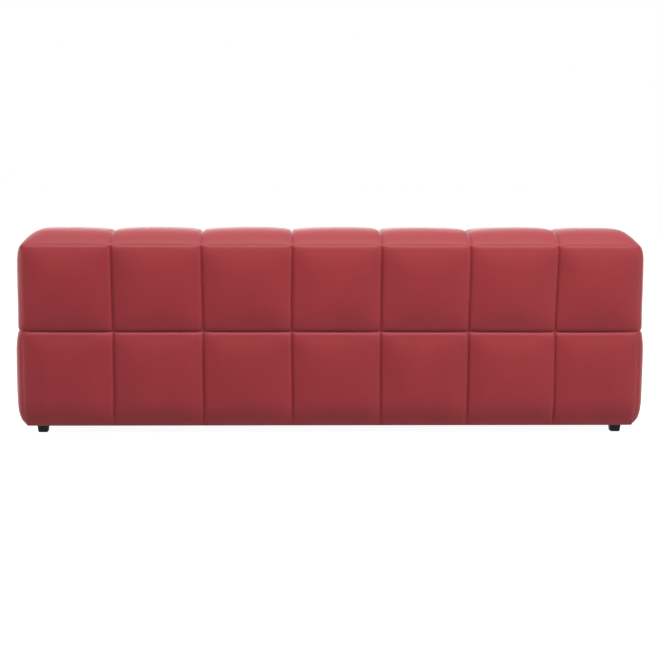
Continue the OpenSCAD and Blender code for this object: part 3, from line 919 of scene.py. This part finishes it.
        # The pad is thinner in an outer corner, so the seam there sits back from both faces
        depth, length = self.sewing.corner
        more, reach = self.sewing.corner_top
        for ends in self.corners:
            away = sum(np.abs(points[:, end.axis] - self.edge(end)) for end in ends)
            top = np.exp(-np.clip(self.edge(Side.TOP) - points[:, 2], 0, 1) / reach)
            pull = depth * (1 + more * top) * np.exp(-away / length)
            for end in ends:
                moved[:, end.axis] -= end.sign * pull
        self.wander(points, moved)
        return moved

    def shifted(self, points: np.ndarray) -> np.ndarray:
        """Give how far along X the shifted seams carry each point.

        Args:
            points: Points as rows.

        Returns:
            The movement along X.
        """
        floor_z, middle_z, top_z = self.seams[2]
        low, mid, high = (np.interp(points[:, 0], self.seams[0], [0, *row, 0])
                          for row in zip(*self.shifts, strict=True))
        up = np.clip((points[:, 2] - middle_z) / (top_z - middle_z), 0, 1)
        down = np.clip((middle_z - points[:, 2]) / (middle_z - floor_z), 0, 1)
        return mid + up * (high - mid) + down * (low - mid)

    def wander(self, points: np.ndarray, moved: np.ndarray) -> None:
        """Let the seams wander a little off their lines.

        Args:
            points: Points as rows.
            moved: The same points once settled, which are moved on.
        """
        sew = self.sewing
        out_x, out_y = (np.minimum(points[:, k] - self.seams[k][0], self.seams[k][-1] - points[:, k])
                        for k in (0, 1))
        rim = np.clip(out_x / sew.wander_rim, 0, 1) * np.clip(out_y / sew.wander_rim, 0, 1)
        ends = np.clip(out_x / sew.wander_ends, 0, 1)
        rise = np.clip((points[:, 2] - self.seams[2][0]) / sew.wander_rise, 0, 1)
        level = rise * (sew.wander_rim_share + (1 - sew.wander_rim_share) * rim)
        pitch_x, pitch_y, pitch_z = sew.wander_pitch
        for k, (x, y, z) in enumerate(points):
            flow = noise.noise_vector(Vector((x * pitch_x + self.seed, y * pitch_y, z * pitch_z)))
            moved[k, 0] += sew.wander * flow.x * ends[k] * rise[k]
            moved[k, 2] += sew.wander * flow.z * level[k]

    def assemble(self, grids: dict[Side, Grid], windows: dict[Side, list[Opening]],
                 ) -> tuple[np.ndarray, list[tuple[int, ...]], np.ndarray]:
        """Join the faces' grids where they meet.

        Args:
            grids: Each face's points and the lines of its grid.
            windows: The openings to leave in each face.

        Returns:
            The points as rows, the quads, and each grid point's row, face after face.
        """
        quads: list[tuple[int, int, int, int]] = []
        start = 0
        for side, (_, a_line, b_line) in grids.items():
            na, nb = len(a_line), len(b_line)
            index = start + np.arange(na * nb).reshape(na, nb)
            start += na * nb
            forward = side.sign * (-1 if side.axis == 1 else 1) > 0
            boxes = windows.get(side, [])
            for i in range(na - 1):
                for j in range(nb - 1):
                    mid_a, mid_b = (a_line[i] + a_line[i + 1]) / 2, (b_line[j] + b_line[j + 1]) / 2
                    if any(p < mid_a < q and r < mid_b < s for p, q, r, s in boxes):
                        continue
                    quad = (index[i, j], index[i + 1, j], index[i + 1, j + 1], index[i, j + 1])
                    quads.append(quad if forward else quad[::-1])
        rows = np.concatenate([grid.reshape(-1, 3) for grid, _, _ in grids.values()])
        _, first, back = np.unique(np.round(rows / self.weld).astype(np.int64), axis=0,
                                   return_index=True, return_inverse=True)
        back = back.reshape(-1)
        faces = [tuple(int(back[k]) for k in quad) for quad in quads]
        return rows[first], [f for f in faces if len(set(f)) == 4], back

    def swollen(self) -> dict[Side, Grid]:
        """Let the filling swell the cover between its seams.

        Returns:
            For each face, how far each point of a coarse grid moves, and the grid's lines along
            both axes.
        """
        grids = {side: self.face(side, even=True) for side in Side}
        rows, faces, back = self.assemble(grids, {})
        held = np.zeros(len(rows), dtype=bool)
        start = 0
        spans = {}
        for side in grids:
            panel = self.panel(side, even=True)
            sewn = np.minimum(panel.near_a, panel.near_b) < self.same
            if self.puffs[side] == 0:
                sewn[:] = True
            if side in self.pressed:
                sewn |= panel.b <= self.seams[2][1] + self.same
            spans[side] = back[start : start + panel.a.size].reshape(panel.a.shape)
            held[spans[side][sewn]] = True
            start += panel.a.size
        moved = self.filling.swell(rows, faces, held)
        rise = np.percentile(np.linalg.norm(moved[~held], axis=1), self.filling.typical)
        moved *= self.sewing.fill / rise
        LOG.info("%s: %d points of cloth, swollen %.1f mm, fitted to %.1f mm", self.name, len(rows),
                 rise * 1000, self.sewing.fill * 1000)
        return {side: (moved[spans[side]], grids[side][1], grids[side][2]) for side in Side}

    @staticmethod
    def carry(coarse: np.ndarray, fine: np.ndarray) -> np.ndarray:
        """Give the Catmull-Rom weights that carry values from coarse grid lines to fine ones.

        Args:
            coarse: The coarse lines.
            fine: The fine lines.

        Returns:
            One row of weights over the coarse lines for each fine line.
        """
        table = np.zeros((len(fine), len(coarse)))
        for row, value in enumerate(fine):
            k = int(np.clip(np.searchsorted(coarse, value, side="right") - 1, 0, len(coarse) - 2))
            t = float(np.clip((value - coarse[k]) / (coarse[k + 1] - coarse[k]), 0, 1))
            cubic = (-t / 2 + t**2 - t**3 / 2, 1 - 2.5 * t**2 + 1.5 * t**3,
                     t / 2 + 2 * t**2 - 1.5 * t**3, (t**3 - t**2) / 2)
            for offset, weight in zip((-1, 0, 1, 2), cubic, strict=True):
                at = k + offset
                if 0 <= at < len(coarse):
                    table[row, at] += weight
                else:
                    # Past the ends the values run on as straight lines
                    edge, next_one = (0, 1) if at < 0 else (len(coarse) - 1, len(coarse) - 2)
                    table[row, edge] += 2 * weight
                    table[row, next_one] -= weight
        return table

    def build(self, material: bpy.types.Material) -> bpy.types.Object:
        """Build the cover, and let it stand in for its CAD solid.

        Args:
            material: The velvet.

        Returns:
            The cover.
        """
        swollen = self.swollen()
        grids = {}
        for side in Side:
            grid, a_line, b_line = self.face(side)
            if side in swollen:
                moves, coarse_a, coarse_b = swollen[side]
                to_a, to_b = self.carry(coarse_a, a_line), self.carry(coarse_b, b_line)
                grid = grid + np.einsum("ik,klc,jl->ijc", to_a, moves, to_b)
            grids[side] = (grid, a_line, b_line)
        rows, faces, _ = self.assemble(grids, self.windows)
        rows = self.settle(rows)
        mesh = bpy.data.meshes.new(self.name)
        mesh.from_pydata([tuple(p) for p in rows], [], faces)
        cover = bpy.data.objects.new(self.name, mesh)
        bpy.context.scene.collection.objects.link(cover)
        self.turn_edges(cover)
        mesh.materials.append(material)
        mesh.shade_smooth()
        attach(cover, self.body)
        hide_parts(self.node)
        LOG.info("%s: %d faces", self.name, len(mesh.polygons))
        return cover

    def turn_edges(self, cover: bpy.types.Object) -> None:
        """Turn the open edges in: under the floor edge to the frame, and into each window.

        Args:
            cover: The cover, whose mesh is changed.
        """
        low_z = self.seams[2][0]
        bm = bmesh.new()
        bm.from_mesh(cover.data)
        under, holes = [], []
        for edge in (e for e in bm.edges if e.is_boundary):
            low = all(v.co.z < low_z + self.floor_band for v in edge.verts)
            (under if low else holes).append(edge)
        x0, x1, y0, y1 = self.cavity
        # The fold under the block is laid in two steps, half the way and then all of it
        for step in (0.5, 1.0):
            under = self.fold(bm, under)
            for v in {v for e in under for v in e.verts}:
                inside = Vector((min(max(v.co.x, x0), x1), min(max(v.co.y, y0), y1),
                                 low_z + self.hem_rise))
                v.co = v.co.lerp(inside, step)
        for v in {v for e in self.fold(bm, under) for v in e.verts}:
            v.co.z = low_z + self.hem_height
        for v in {v for e in self.fold(bm, holes) for v in e.verts}:
            side = min(self.windows, key=lambda s, at=v.co: abs(at[s.axis] - self.edge(s)))
            v.co[side.axis] -= side.sign * self.skin
        bmesh.ops.remove_doubles(bm, verts=bm.verts, dist=self.merge)
        bmesh.ops.dissolve_degenerate(bm, edges=bm.edges, dist=self.same)
        self.put_in_order(bm)
        bm.to_mesh(cover.data)
        bm.free()

    @staticmethod
    def fold(bm: bmesh.types.BMesh, edges: list[bmesh.types.BMEdge]) -> list[bmesh.types.BMEdge]:
        """Grow a new row of faces from open edges.

        Args:
            bm: The mesh.
            edges: Its open edges, which may be none.

        Returns:
            The edges at the far side of the new row.
        """
        if not edges:
            return []
        made = bmesh.ops.extrude_edge_only(bm, edges=edges)["geom"]
        return [g for g in made if isinstance(g, bmesh.types.BMEdge)]

    @staticmethod
    def put_in_order(bm: bmesh.types.BMesh) -> None:
        """Sort the points, edges and faces, because the operators order new ones anew in each run.

        Args:
            bm: The mesh.
        """
        for found, key in (
            (bm.verts, lambda v: v.co[:]),
            (bm.edges, lambda e: sorted(v.index for v in e.verts)),
            (bm.faces, lambda f: sorted(v.index for v in f.verts)),
        ):
            place = {element: k for k, element in enumerate(sorted(found, key=key))}
            found.sort(key=place.get)
            found.index_update()


@dataclass
class SoftSlab:
    """A slab of foam or felt with rounded edges and faces that are never quite flat."""

    name: str
    body: str
    low: Point
    high: Point
    # The rounding of the edges, at most this share of the slab's thinnest side
    edge: float = 0.012
    edge_share: float = 0.3
    # How far the faces sag in, how many times a metre that changes, and the grid that shows it
    sag: float = 0.0012
    sag_pitch: float = 7.0
    grid: float = 0.05
    fill: float = 0.8

    def corner(self, lines: list[np.ndarray], key: tuple[int, int, int]) -> list[float]:
        """Place one point of the slab's surface, sunk a little into each face that it lies on.

        Args:
            lines: The grid's lines along each axis.
            key: The point's number along each axis.

        Returns:
            The place.
        """
        place = [line[index] for line, index in zip(lines, key, strict=True)]
        lift = abs(self.sag * noise.noise(Vector(place) * self.sag_pitch))
        for axis, index in enumerate(key):
            if index in (0, len(lines[axis]) - 1):
                place[axis] += lift if index == 0 else -lift
        return place

    def build(self, material: bpy.types.Material, *nodes: str) -> bpy.types.Object:
        """Build the slab.

        Args:
            material: Its finish.
            *nodes: The CAD solids that it stands for.

        Returns:
            The slab.
        """
        size = [h - l for l, h in zip(self.low, self.high, strict=True)]
        cuts = [max(3, round(s / self.grid)) for s in size]
        lines = [np.linspace(l, h, c + 1)
                 for l, h, c in zip(self.low, self.high, cuts, strict=True)]
        bm = bmesh.new()
        seen: dict[tuple[int, int, int], bmesh.types.BMVert] = {}
        for axis in range(3):
            u, v = [k for k in range(3) if k != axis]
            for end in (0, cuts[axis]):
                for i in range(cuts[u]):
                    for j in range(cuts[v]):
                        quad = []
                        for du, dv in ((0, 0), (1, 0), (1, 1), (0, 1)):
                            at = {axis: end, u: i + du, v: j + dv}
                            key = (at[0], at[1], at[2])
                            if key not in seen:
                                seen[key] = bm.verts.new(self.corner(lines, key))
                            quad.append(seen[key])
                        bm.faces.new(quad)
        bmesh.ops.recalc_face_normals(bm, faces=bm.faces)
        mesh = bpy.data.meshes.new(self.name)
        bm.to_mesh(mesh)
        bm.free()
        slab = bpy.data.objects.new(self.name, mesh)
        bpy.context.scene.collection.objects.link(slab)
        mesh.materials.append(material)
        mesh.shade_smooth()
        soften = slab.modifiers.new("rounded_edges", "BEVEL")
        soften.width = min(self.edge, min(size) * self.edge_share)
        soften.segments = 3
        soften.limit_method = "ANGLE"
        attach(slab, self.body)
        if nodes:
            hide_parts(*nodes)
        LOG.info("%s: %s mm", self.name, " x ".join(str(round(s * 1000)) for s in size))
        return slab


@dataclass
class Foot:
    """A tapered square foot moulded in plastic, with soft corners, a collar and a sole."""

    name: str
    body: str
    x: float
    y: float
    height: float = 0.0324
    top: float = 0.043
    base: float = 0.036
    corner: float = 0.0065
    segments: int = 40
    # Heights, and how much wider than the taper the foot is there: the rounded sole, the groove
    # under the collar and the collar's softened edge
    profile: tuple[tuple[float, float], ...] = (
        (0.0, -0.005), (0.0, -0.003), (0.0008, -0.0014), (0.0025, 0.0), (0.012, 0.0), (0.02, 0.0),
        (0.0272, 0.0), (0.0276, -0.0007), (0.0281, -0.0007), (0.0285, 0.0), (0.0312, 0.0),
        (0.032, -0.0006), (0.0324, -0.0016))
    # Edges sharper than this stay sharp
    sharp_degrees: float = 50.0

    def ring(self, z: float, grow: float) -> list[Point]:
        """Give one rounded square around the foot.

        Args:
            z: Its height.
            grow: How much wider it is than the taper.

        Returns:
            Its points, counter-clockwise from above.
        """
        width = self.base + (self.top - self.base) * z / self.height + grow
        half = width / 2 - self.corner
        points = []
        per = self.segments // 4
        for quarter, (sx, sy) in enumerate(((1, 1), (-1, 1), (-1, -1), (1, -1))):
            for k in range(per):
                angle = math.pi / 2 * (quarter + k / (per - 1))
                points.append((self.x + sx * half + self.corner * math.cos(angle),
                               self.y + sy * half + self.corner * math.sin(angle), z))
        return points

    def build(self, material: bpy.types.Material) -> bpy.types.Object:
        """Build the foot.

        Args:
            material: Its plastic.

        Returns:
            The foot.
        """
        bm = bmesh.new()
        rings = [[bm.verts.new(p) for p in self.ring(z, grow)] for z, grow in self.profile]
        for lower, upper in zip(rings, rings[1:], strict=False):
            for k in range(len(lower)):
                n = (k + 1) % len(lower)
                bm.faces.new((lower[k], lower[n], upper[n], upper[k]))
        bm.faces.new(rings[0][::-1])
        bm.faces.new(rings[-1])
        mesh = bpy.data.meshes.new(self.name)
        bm.to_mesh(mesh)
        bm.free()
        foot = bpy.data.objects.new(self.name, mesh)
        bpy.context.scene.collection.objects.link(foot)
        mesh.materials.append(material)
        mesh.shade_smooth()
        mesh.set_sharp_from_angle(angle=math.radians(self.sharp_degrees))
        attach(foot, self.body)
        LOG.info("%s at %.3f, %.3f", self.name, self.x, self.y)
        return foot


# The sofa


@dataclass(frozen=True)
class SofaSize:
    """The sizes that the CAD source uses."""

    tuft: float = 0.33
    seat_cols: int = 5
    lower_row: float = 0.36
    upper_row: float = 0.324
    arm_row: float = 0.179
    puff: float = 0.018
    puff_end: float = 0.019
    puff_top: float = 0.012
    back_t: float = 0.29
    gap: float = 0.002
    back_crown: float = 0.045
    seat_crown: float = 0.03
    recess: float = 0.01
    # The thickness of cover and wadding, and of the cover alone
    quilt: float = 0.034
    skin: float = 0.004
    foot_h: float = 0.0324
    # How far the covers' floor edge lies below the top of the feet
    hem_drop: float = 0.0004
    arm_brackets: tuple[float, float] = (-0.33, 0.059)
    back_brackets: Point = (-0.594, 0.0, 0.594)
    # Half the width, the lowest and the highest point of an opening
    receiver_window: Point = (0.04, 0.084, 0.212)
    hook_window: Point = (0.032, 0.134, 0.208)

    @property
    def seat_half(self) -> float:
        """Half the width of the seat block."""
        return self.seat_cols * self.tuft / 2

    @property
    def half_w(self) -> float:
        """Half the width of the sofa between its end seams."""
        return self.seat_half + self.tuft

    @property
    def y_rear(self) -> float:
        """The plane of the seams on the back of the sofa."""
        return (self.back_t + 2 * self.tuft) / 2

    @property
    def y_split(self) -> float:
        """The plane between the back module and the others."""
        return self.y_rear - self.back_t

    @property
    def z_base(self) -> float:
        """The height of the floor edge of the covers."""
        return self.foot_h - self.hem_drop

    @property
    def z_mid(self) -> float:
        """The height of the seam between the two rows."""
        return self.z_base + self.lower_row

    def row(self, start: float, pitch: float, count: int) -> list[float]:
        """Give evenly spaced seams.

        Args:
            start: The first seam.
            pitch: The distance from seam to seam.
            count: The number of tufts.

        Returns:
            The seam positions.
        """
        return [start + pitch * k for k in range(count + 1)]

    def openings(self, places: Sequence[float], window: Point) -> list[Opening]:
        """Give the openings that a cover leaves for its brackets.

        Args:
            places: Where the brackets are along the face.
            window: Half the width of an opening, its lowest and its highest point.

        Returns:
            The low and high of each opening along the face and in height.
        """
        half, low, high = window
        return [(place - half, place + half, low, high) for place in places]


@dataclass
class SeatModule:
    """The seat block: its velvet cover, the foam core and the felt over the springs."""

    size: SofaSize
    felt_edge: float = 0.001
    felt_sag: float = 0.0004

    def build(self, finish: dict[str, bpy.types.Material]) -> None:
        """Build the module's pieces.

        Args:
            finish: The materials by slot.
        """
        s = self.size
        half = s.seat_half - s.gap / 2
        rear = s.y_split - s.gap / 2
        side_openings = s.openings(s.arm_brackets, s.receiver_window)
        TuftedBlock(
            "seat_velvet_cover", "seat_module", "seat_cover",
            seams=(s.row(-half, 2 * half / s.seat_cols, s.seat_cols),
                   [-s.y_rear, -s.y_rear + s.tuft, rear], [s.z_base, s.z_mid]),
            puffs={Side.LEFT: 0.0, Side.RIGHT: 0.0, Side.FRONT: s.puff, Side.REAR: 0.0,
                   Side.TOP: s.puff_top},
            crown=s.seat_crown,
            rolls={Side.FRONT: 1.0},
            windows={Side.LEFT: side_openings, Side.RIGHT: side_openings,
                     Side.REAR: s.openings(s.back_brackets, s.receiver_window)},
            cavity=(-half + s.skin, half - s.skin, -s.y_rear + s.quilt, rear - s.skin),
            seed=3.0,
        ).build(finish["dusty_red_velvet"])
        low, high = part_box("seat_foam")
        SoftSlab("seat_foam_core", "seat_module", tuple(low), tuple(high)).build(
            finish["cushion_foam"], "seat_foam")
        low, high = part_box("spring_felt")
        SoftSlab("spring_felt_pad", "seat_module", tuple(low), tuple(high), edge=self.felt_edge,
                 sag=self.felt_sag).build(finish["grey_felt"], "spring_felt")


@dataclass
class BackModule:
    """The back block that the photograph shows, with its two foams."""

    size: SofaSize
    # How much fuller than in CAD the ends and the crown stand, to follow the photograph
    left_fuller: float = 0.008
    right_fuller: float = 0.005
    crown_fuller: float = 0.003
    flare: float = 0.01
    end_roll: float = 0.4
    # How far toward -X, in millimetres, each inner seam lies off its even place: at the floor
    # edge, at the middle seam and at the top
    seam_shifts_mm: tuple[Point, ...] = (
        (14.5, 12.6, 19.3), (18.6, 17.1, 20.1), (21.2, 19.0, 19.3),
        (20.5, 17.5, 18.6), (18.6, 17.9, 10.4), (12.3, 14.5, 5.6))

    def build(self, finish: dict[str, bpy.types.Material]) -> None:
        """Build the module's pieces.

        Args:
            finish: The materials by slot.
        """
        s = self.size
        front = s.y_split + s.gap / 2
        TuftedBlock(
            "back_velvet_cover", "back_module", "back_cover",
            seams=(s.row(-s.half_w, s.tuft, s.seat_cols + 2), [front + s.recess, s.y_rear],
                   [s.z_base, s.z_mid, s.z_mid + s.upper_row]),
            puffs={Side.LEFT: s.puff_end + self.left_fuller,
                   Side.RIGHT: s.puff_end + self.right_fuller,
                   Side.FRONT: s.recess, Side.REAR: s.puff, Side.TOP: s.puff_top},
            crown=s.back_crown + self.crown_fuller,
            rolls={Side.LEFT: self.end_roll, Side.RIGHT: self.end_roll, Side.REAR: 1.0},
            flare=self.flare,
            pressed=frozenset({Side.FRONT}),
            windows={Side.FRONT: s.openings(s.back_brackets, s.hook_window)},
            cavity=(-s.half_w + s.quilt, s.half_w - s.quilt, front + s.skin, s.y_rear - s.quilt),
            corners=((Side.LEFT, Side.REAR), (Side.RIGHT, Side.REAR)),
            shifts=tuple((-low / 1000, -mid / 1000, -top / 1000)
                         for low, mid, top in self.seam_shifts_mm),
            seed=11.0,
        ).build(finish["dusty_red_velvet"])
        for node, piece in (("back_foam", "back_front_foam"), ("back_top_foam", "back_crest_foam")):
            low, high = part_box(node)
            SoftSlab(piece, "back_module", tuple(low), tuple(high)).build(finish["cushion_foam"], node)


@dataclass
class ArmModule:
    """One of the two box arms, with its cover and its foam on the top and on the outside."""

    size: SofaSize
    # -1 for the left arm, 1 for the right one
    side: int
    outer_roll: float = 0.5
    # The thickness of the foam on the top and on the outside, and how far their edges are rounded
    top_foam: float = 0.0275
    side_foam: float = 0.0195
    top_foam_edge: float = 0.008
    side_foam_edge: float = 0.004
    # Where the wander of the seams starts. The side is added, so that the two arms differ
    seed: float = 20.0

    def build(self, finish: dict[str, bpy.types.Material]) -> None:
        """Build the module's pieces.

        Args:
            finish: The materials by slot.
        """
        s = self.size
        word = "right" if self.side > 0 else "left"
        body = f"{word}_arm_module"
        inner = s.seat_half + s.gap / 2
        rear = s.y_split - s.gap / 2
        xs = sorted([self.side * (inner + s.recess), self.side * s.half_w])
        outside, inside = (Side.RIGHT, Side.LEFT) if self.side > 0 else (Side.LEFT, Side.RIGHT)
        hollow = sorted([self.side * (inner + s.skin), self.side * (s.half_w - s.quilt)])
        TuftedBlock(
            f"{word}_arm_velvet_cover", body, f"{word}_arm_cover",
            seams=(xs, [-s.y_rear, -s.y_rear + s.tuft, rear],
                   [s.z_base, s.z_mid, s.z_mid + s.arm_row]),
            puffs={outside: s.puff_end, inside: s.recess, Side.FRONT: s.puff, Side.REAR: 0.0,
                   Side.TOP: s.puff_top},
            crown=s.seat_crown,
            rolls={outside: self.outer_roll, Side.FRONT: 1.0},
            pressed=frozenset({inside}),
            windows={inside: s.openings(s.arm_brackets, s.hook_window)},
            cavity=(hollow[0], hollow[1], -s.y_rear + s.quilt, rear - s.skin),
            corners=((outside, Side.FRONT),),
            seed=self.seed + self.side,
        ).build(finish["dusty_red_velvet"])
        low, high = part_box(f"{word}_arm_foam")
        under = high[2] - self.top_foam
        SoftSlab(f"{word}_arm_foam_pad", body, (low[0], low[1], under), tuple(high),
                 edge=self.top_foam_edge).build(finish["cushion_foam"], f"{word}_arm_foam")
        near, far = ((low[0], low[0] + self.side_foam) if self.side > 0
                     else (high[0] - self.side_foam, high[0]))
        strip = SoftSlab(f"{word}_arm_side_foam", body, (near, low[1], low[2]), (far, high[1], under),
                         edge=self.side_foam_edge).build(finish["cushion_foam"])


@dataclass
class Feet:
    """All the feet, one piece each, in place of the plain CAD ones."""

    size: SofaSize
    # Half the width of a CAD foot
    half_foot: float = 0.02

    def build(self, finish: dict[str, bpy.types.Material]) -> None:
        """Build the feet of every module.

        Args:
            finish: The materials by slot.
        """
        for module in ("seat", "back", "left_arm", "right_arm"):
            node = f"{module}_feet"
            for k, (x, y) in enumerate(self.places(node), start=1):
                foot = Foot(f"{module}_foot_{k}", f"{module}_module", x, y)
                foot = foot.build(finish["black_plastic"])
                if k == 1:
                    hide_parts(node)

    def places(self, node: str) -> list[tuple[float, float]]:
        """Give the plan positions of a module's feet, read from its CAD solid's box.

        Args:
            node: The CAD node of the module's feet.

        Returns:
            The centre of each foot.
        """
        (x0, y0, _), (x1, y1, _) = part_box(node)
        left, right = x0 + self.half_foot, x1 - self.half_foot
        front, rear = y0 + self.half_foot, y1 - self.half_foot
        if node == "back_feet":
            return [(left, rear), (right, rear)]
        if node == "seat_feet":
            middle = (0.0, -self.size.tuft / 2)
            return [(left, front), (right, front), (left, rear), (right, rear), middle]
        return [(left, front), (left, rear)]


class Wardrobe:
    """Every finish of the sofa, built once."""

    recipes: dict[str, object] = {
        "dusty_red_velvet": Velvet(),
        "black_plastic": MouldedPlastic(),
        "zinc_steel": PlatedSteel("zinc_plated_steel"),
        "spring_steel": PlatedSteel("drawn_spring_wire", "#8d9094", "#6f7276", cloud_mm=4.0,
                                    gloss=(0.35, 0.5)),
        "pine": Timber("planed_pine", "#dcb883", "#b98a52"),
        "plywood": Timber("birch_plywood", "#d0ab77", "#ab8250", (1, 0.06, 0.4), ring_mm=8.0),
        "hardboard": Timber("pressed_fibreboard", "#8b6843", "#6e4f31", (0.7, 1, 0.7), ring_mm=3.0),
        "cushion_foam": Foam(),
        "grey_felt": Fibre("grey_felt", "#5b5955", "#8c8983", fibre_mm=3.0),
        "black_dust_cloth": Fibre("black_dust_cloth", "#161618", "#2b2b2e", fibre_mm=1.2,
                                  depth=0.0002),
        "paper_wrapped_wire": Fibre("kraft_paper_wrap", "#8e744f", "#b59b70", fibre_mm=4.0,
                                    along=(0.3, 2, 2)),
        "elastic_webbing": Webbing(),
    }

    def __init__(self) -> None:
        """Build every material."""
        self.materials = {slot: recipe.build() for slot, recipe in self.recipes.items()}

    def dress(self, record: dict) -> None:
        """Give every CAD object the finish of its slot.

        Args:
            record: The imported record.
        """
        slots = {part["node"]: part["material_slot"] for part in record["subparts"]}
        for node, slot in slots.items():
            solid = bpy.data.objects.get(node)
            if solid is None:
                LOG.warning("no object for %s", node)
                continue
            solid.data.materials.clear()
            solid.data.materials.append(self.materials[slot])


@dataclass(frozen=True)
class Lamp:
    """A softbox: where it hangs, what it points at, its width and height in metres, and its watts."""

    name: str
    place: Point
    at: Point
    width: float
    height: float
    power: float


@dataclass
class Studio:
    """Floor, light and the photograph's camera."""

    # The camera's place, its turn off the sofa's Y axis, its tilt down and its roll in degrees,
    # its lens in millimetres, and the shift that the photograph's framing needs
    eye: Point = (0.2, 5.6, 1.1)
    turn: float = 1.4
    tilt: float = 7.79
    roll: float = 0.2
    lens: float = 75.8
    shift: float = 0.0279
    lamps: tuple[Lamp, ...] = (
        Lamp("overhead_softbox", (-0.05, 2.0, 4.2), (-0.05, 0.3, 0.4), 4.8, 1.5, 262.0),
        Lamp("right_softbox", (-4.4, 2.6, 2.4), (0, 0.3, 0.4), 2.4, 2.4, 109.0),
        Lamp("left_fill", (4.6, 3.6, 1.8), (0, 0.3, 0.4), 3.0, 3.0, 3.0),
        Lamp("left_end_softbox", (4.8, -0.2, 1.6), (1.1, 0.1, 0.4), 2.4, 2.4, 105.0),
        Lamp("front_fill", (0.5, -4.6, 2.8), (0, 0, 0.4), 4.0, 4.0, 90.0),
    )
    world_light: float = 0.11
    floor_half: float = 30.0

    def build(self) -> None:
        """Build the studio."""
        scene = bpy.context.scene
        scene.view_settings.view_transform = "Standard"
        self.build_camera(scene)
        for lamp in self.lamps:
            self.build_lamp(scene, lamp)
        self.build_world(scene)
        self.build_floor(scene)

    def build_camera(self, scene: bpy.types.Scene) -> None:
        """Set up the photograph's camera.

        Args:
            scene: The scene.
        """
        data = bpy.data.cameras.new("photo_camera")
        data.lens = self.lens
        data.shift_x = self.shift
        camera = bpy.data.objects.new("photo_camera", data)
        camera.location = self.eye
        facing = Matrix.Rotation(math.radians(180 - self.turn), 4, "Z")
        tilted = Matrix.Rotation(math.radians(90 - self.tilt), 4, "X")
        rolled = Matrix.Rotation(math.radians(self.roll), 4, "Z")
        camera.rotation_euler = (facing @ tilted @ rolled).to_euler()
        scene.collection.objects.link(camera)
        scene.camera = camera

    def build_lamp(self, scene: bpy.types.Scene, lamp: Lamp) -> None:
        """Hang a softbox and point it.

        Args:
            scene: The scene.
            lamp: The softbox.
        """
        data = bpy.data.lights.new(lamp.name, "AREA")
        data.shape, data.energy = "RECTANGLE", lamp.power
        data.size, data.size_y = lamp.width, lamp.height
        softbox = bpy.data.objects.new(lamp.name, data)
        softbox.location = lamp.place
        aim = Vector(lamp.at) - softbox.location
        softbox.rotation_euler = aim.to_track_quat("-Z", "Y").to_euler()
        scene.collection.objects.link(softbox)

    def build_world(self, scene: bpy.types.Scene) -> None:
        """Give an even white world that lights softly and is seen as plain white.

        Args:
            scene: The scene.
        """
        g = NodeGraph(bpy.data.worlds.new("white_studio"))
        rays = g.add("LightPath").outputs
        seen = g.add("Math", {"operation": "MAXIMUM"}, i0=rays["Is Camera Ray"],
                     i1=rays["Is Glossy Ray"])
        level = g.add("MapRange", Value=seen, To_Min=self.world_light, To_Max=1.0)
        scene.world = g.close(g.add("Background", Color=(1, 1, 1, 1), Strength=level))

    def build_floor(self, scene: bpy.types.Scene) -> None:
        """Lay the floor.

        Args:
            scene: The scene.
        """
        mesh = bpy.data.meshes.new("studio_floor")
        r = self.floor_half
        mesh.from_pydata([(-r, -r, 0), (r, -r, 0), (r, r, 0), (-r, r, 0)], [], [(0, 1, 2, 3)])
        floor = bpy.data.objects.new("studio_floor", mesh)
        scene.collection.objects.link(floor)
        mesh.materials.append(StudioWhite().build())


def main() -> None:
    """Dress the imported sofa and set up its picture."""
    logging.basicConfig(level=logging.INFO, format="%(name)s: %(message)s")
    noise.seed_set(NOISE_SEED)
    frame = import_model()
    Studio().build()
    wardrobe = Wardrobe()
    wardrobe.dress(frame["record"])
    size = SofaSize()
    BackModule(size).build(wardrobe.materials)
    SeatModule(size).build(wardrobe.materials)
    for side in (-1, 1):
        ArmModule(size, side).build(wardrobe.materials)
    Feet(size).build(wardrobe.materials)
    LOG.info("sizes written")


if __name__ == "__main__":
    main()
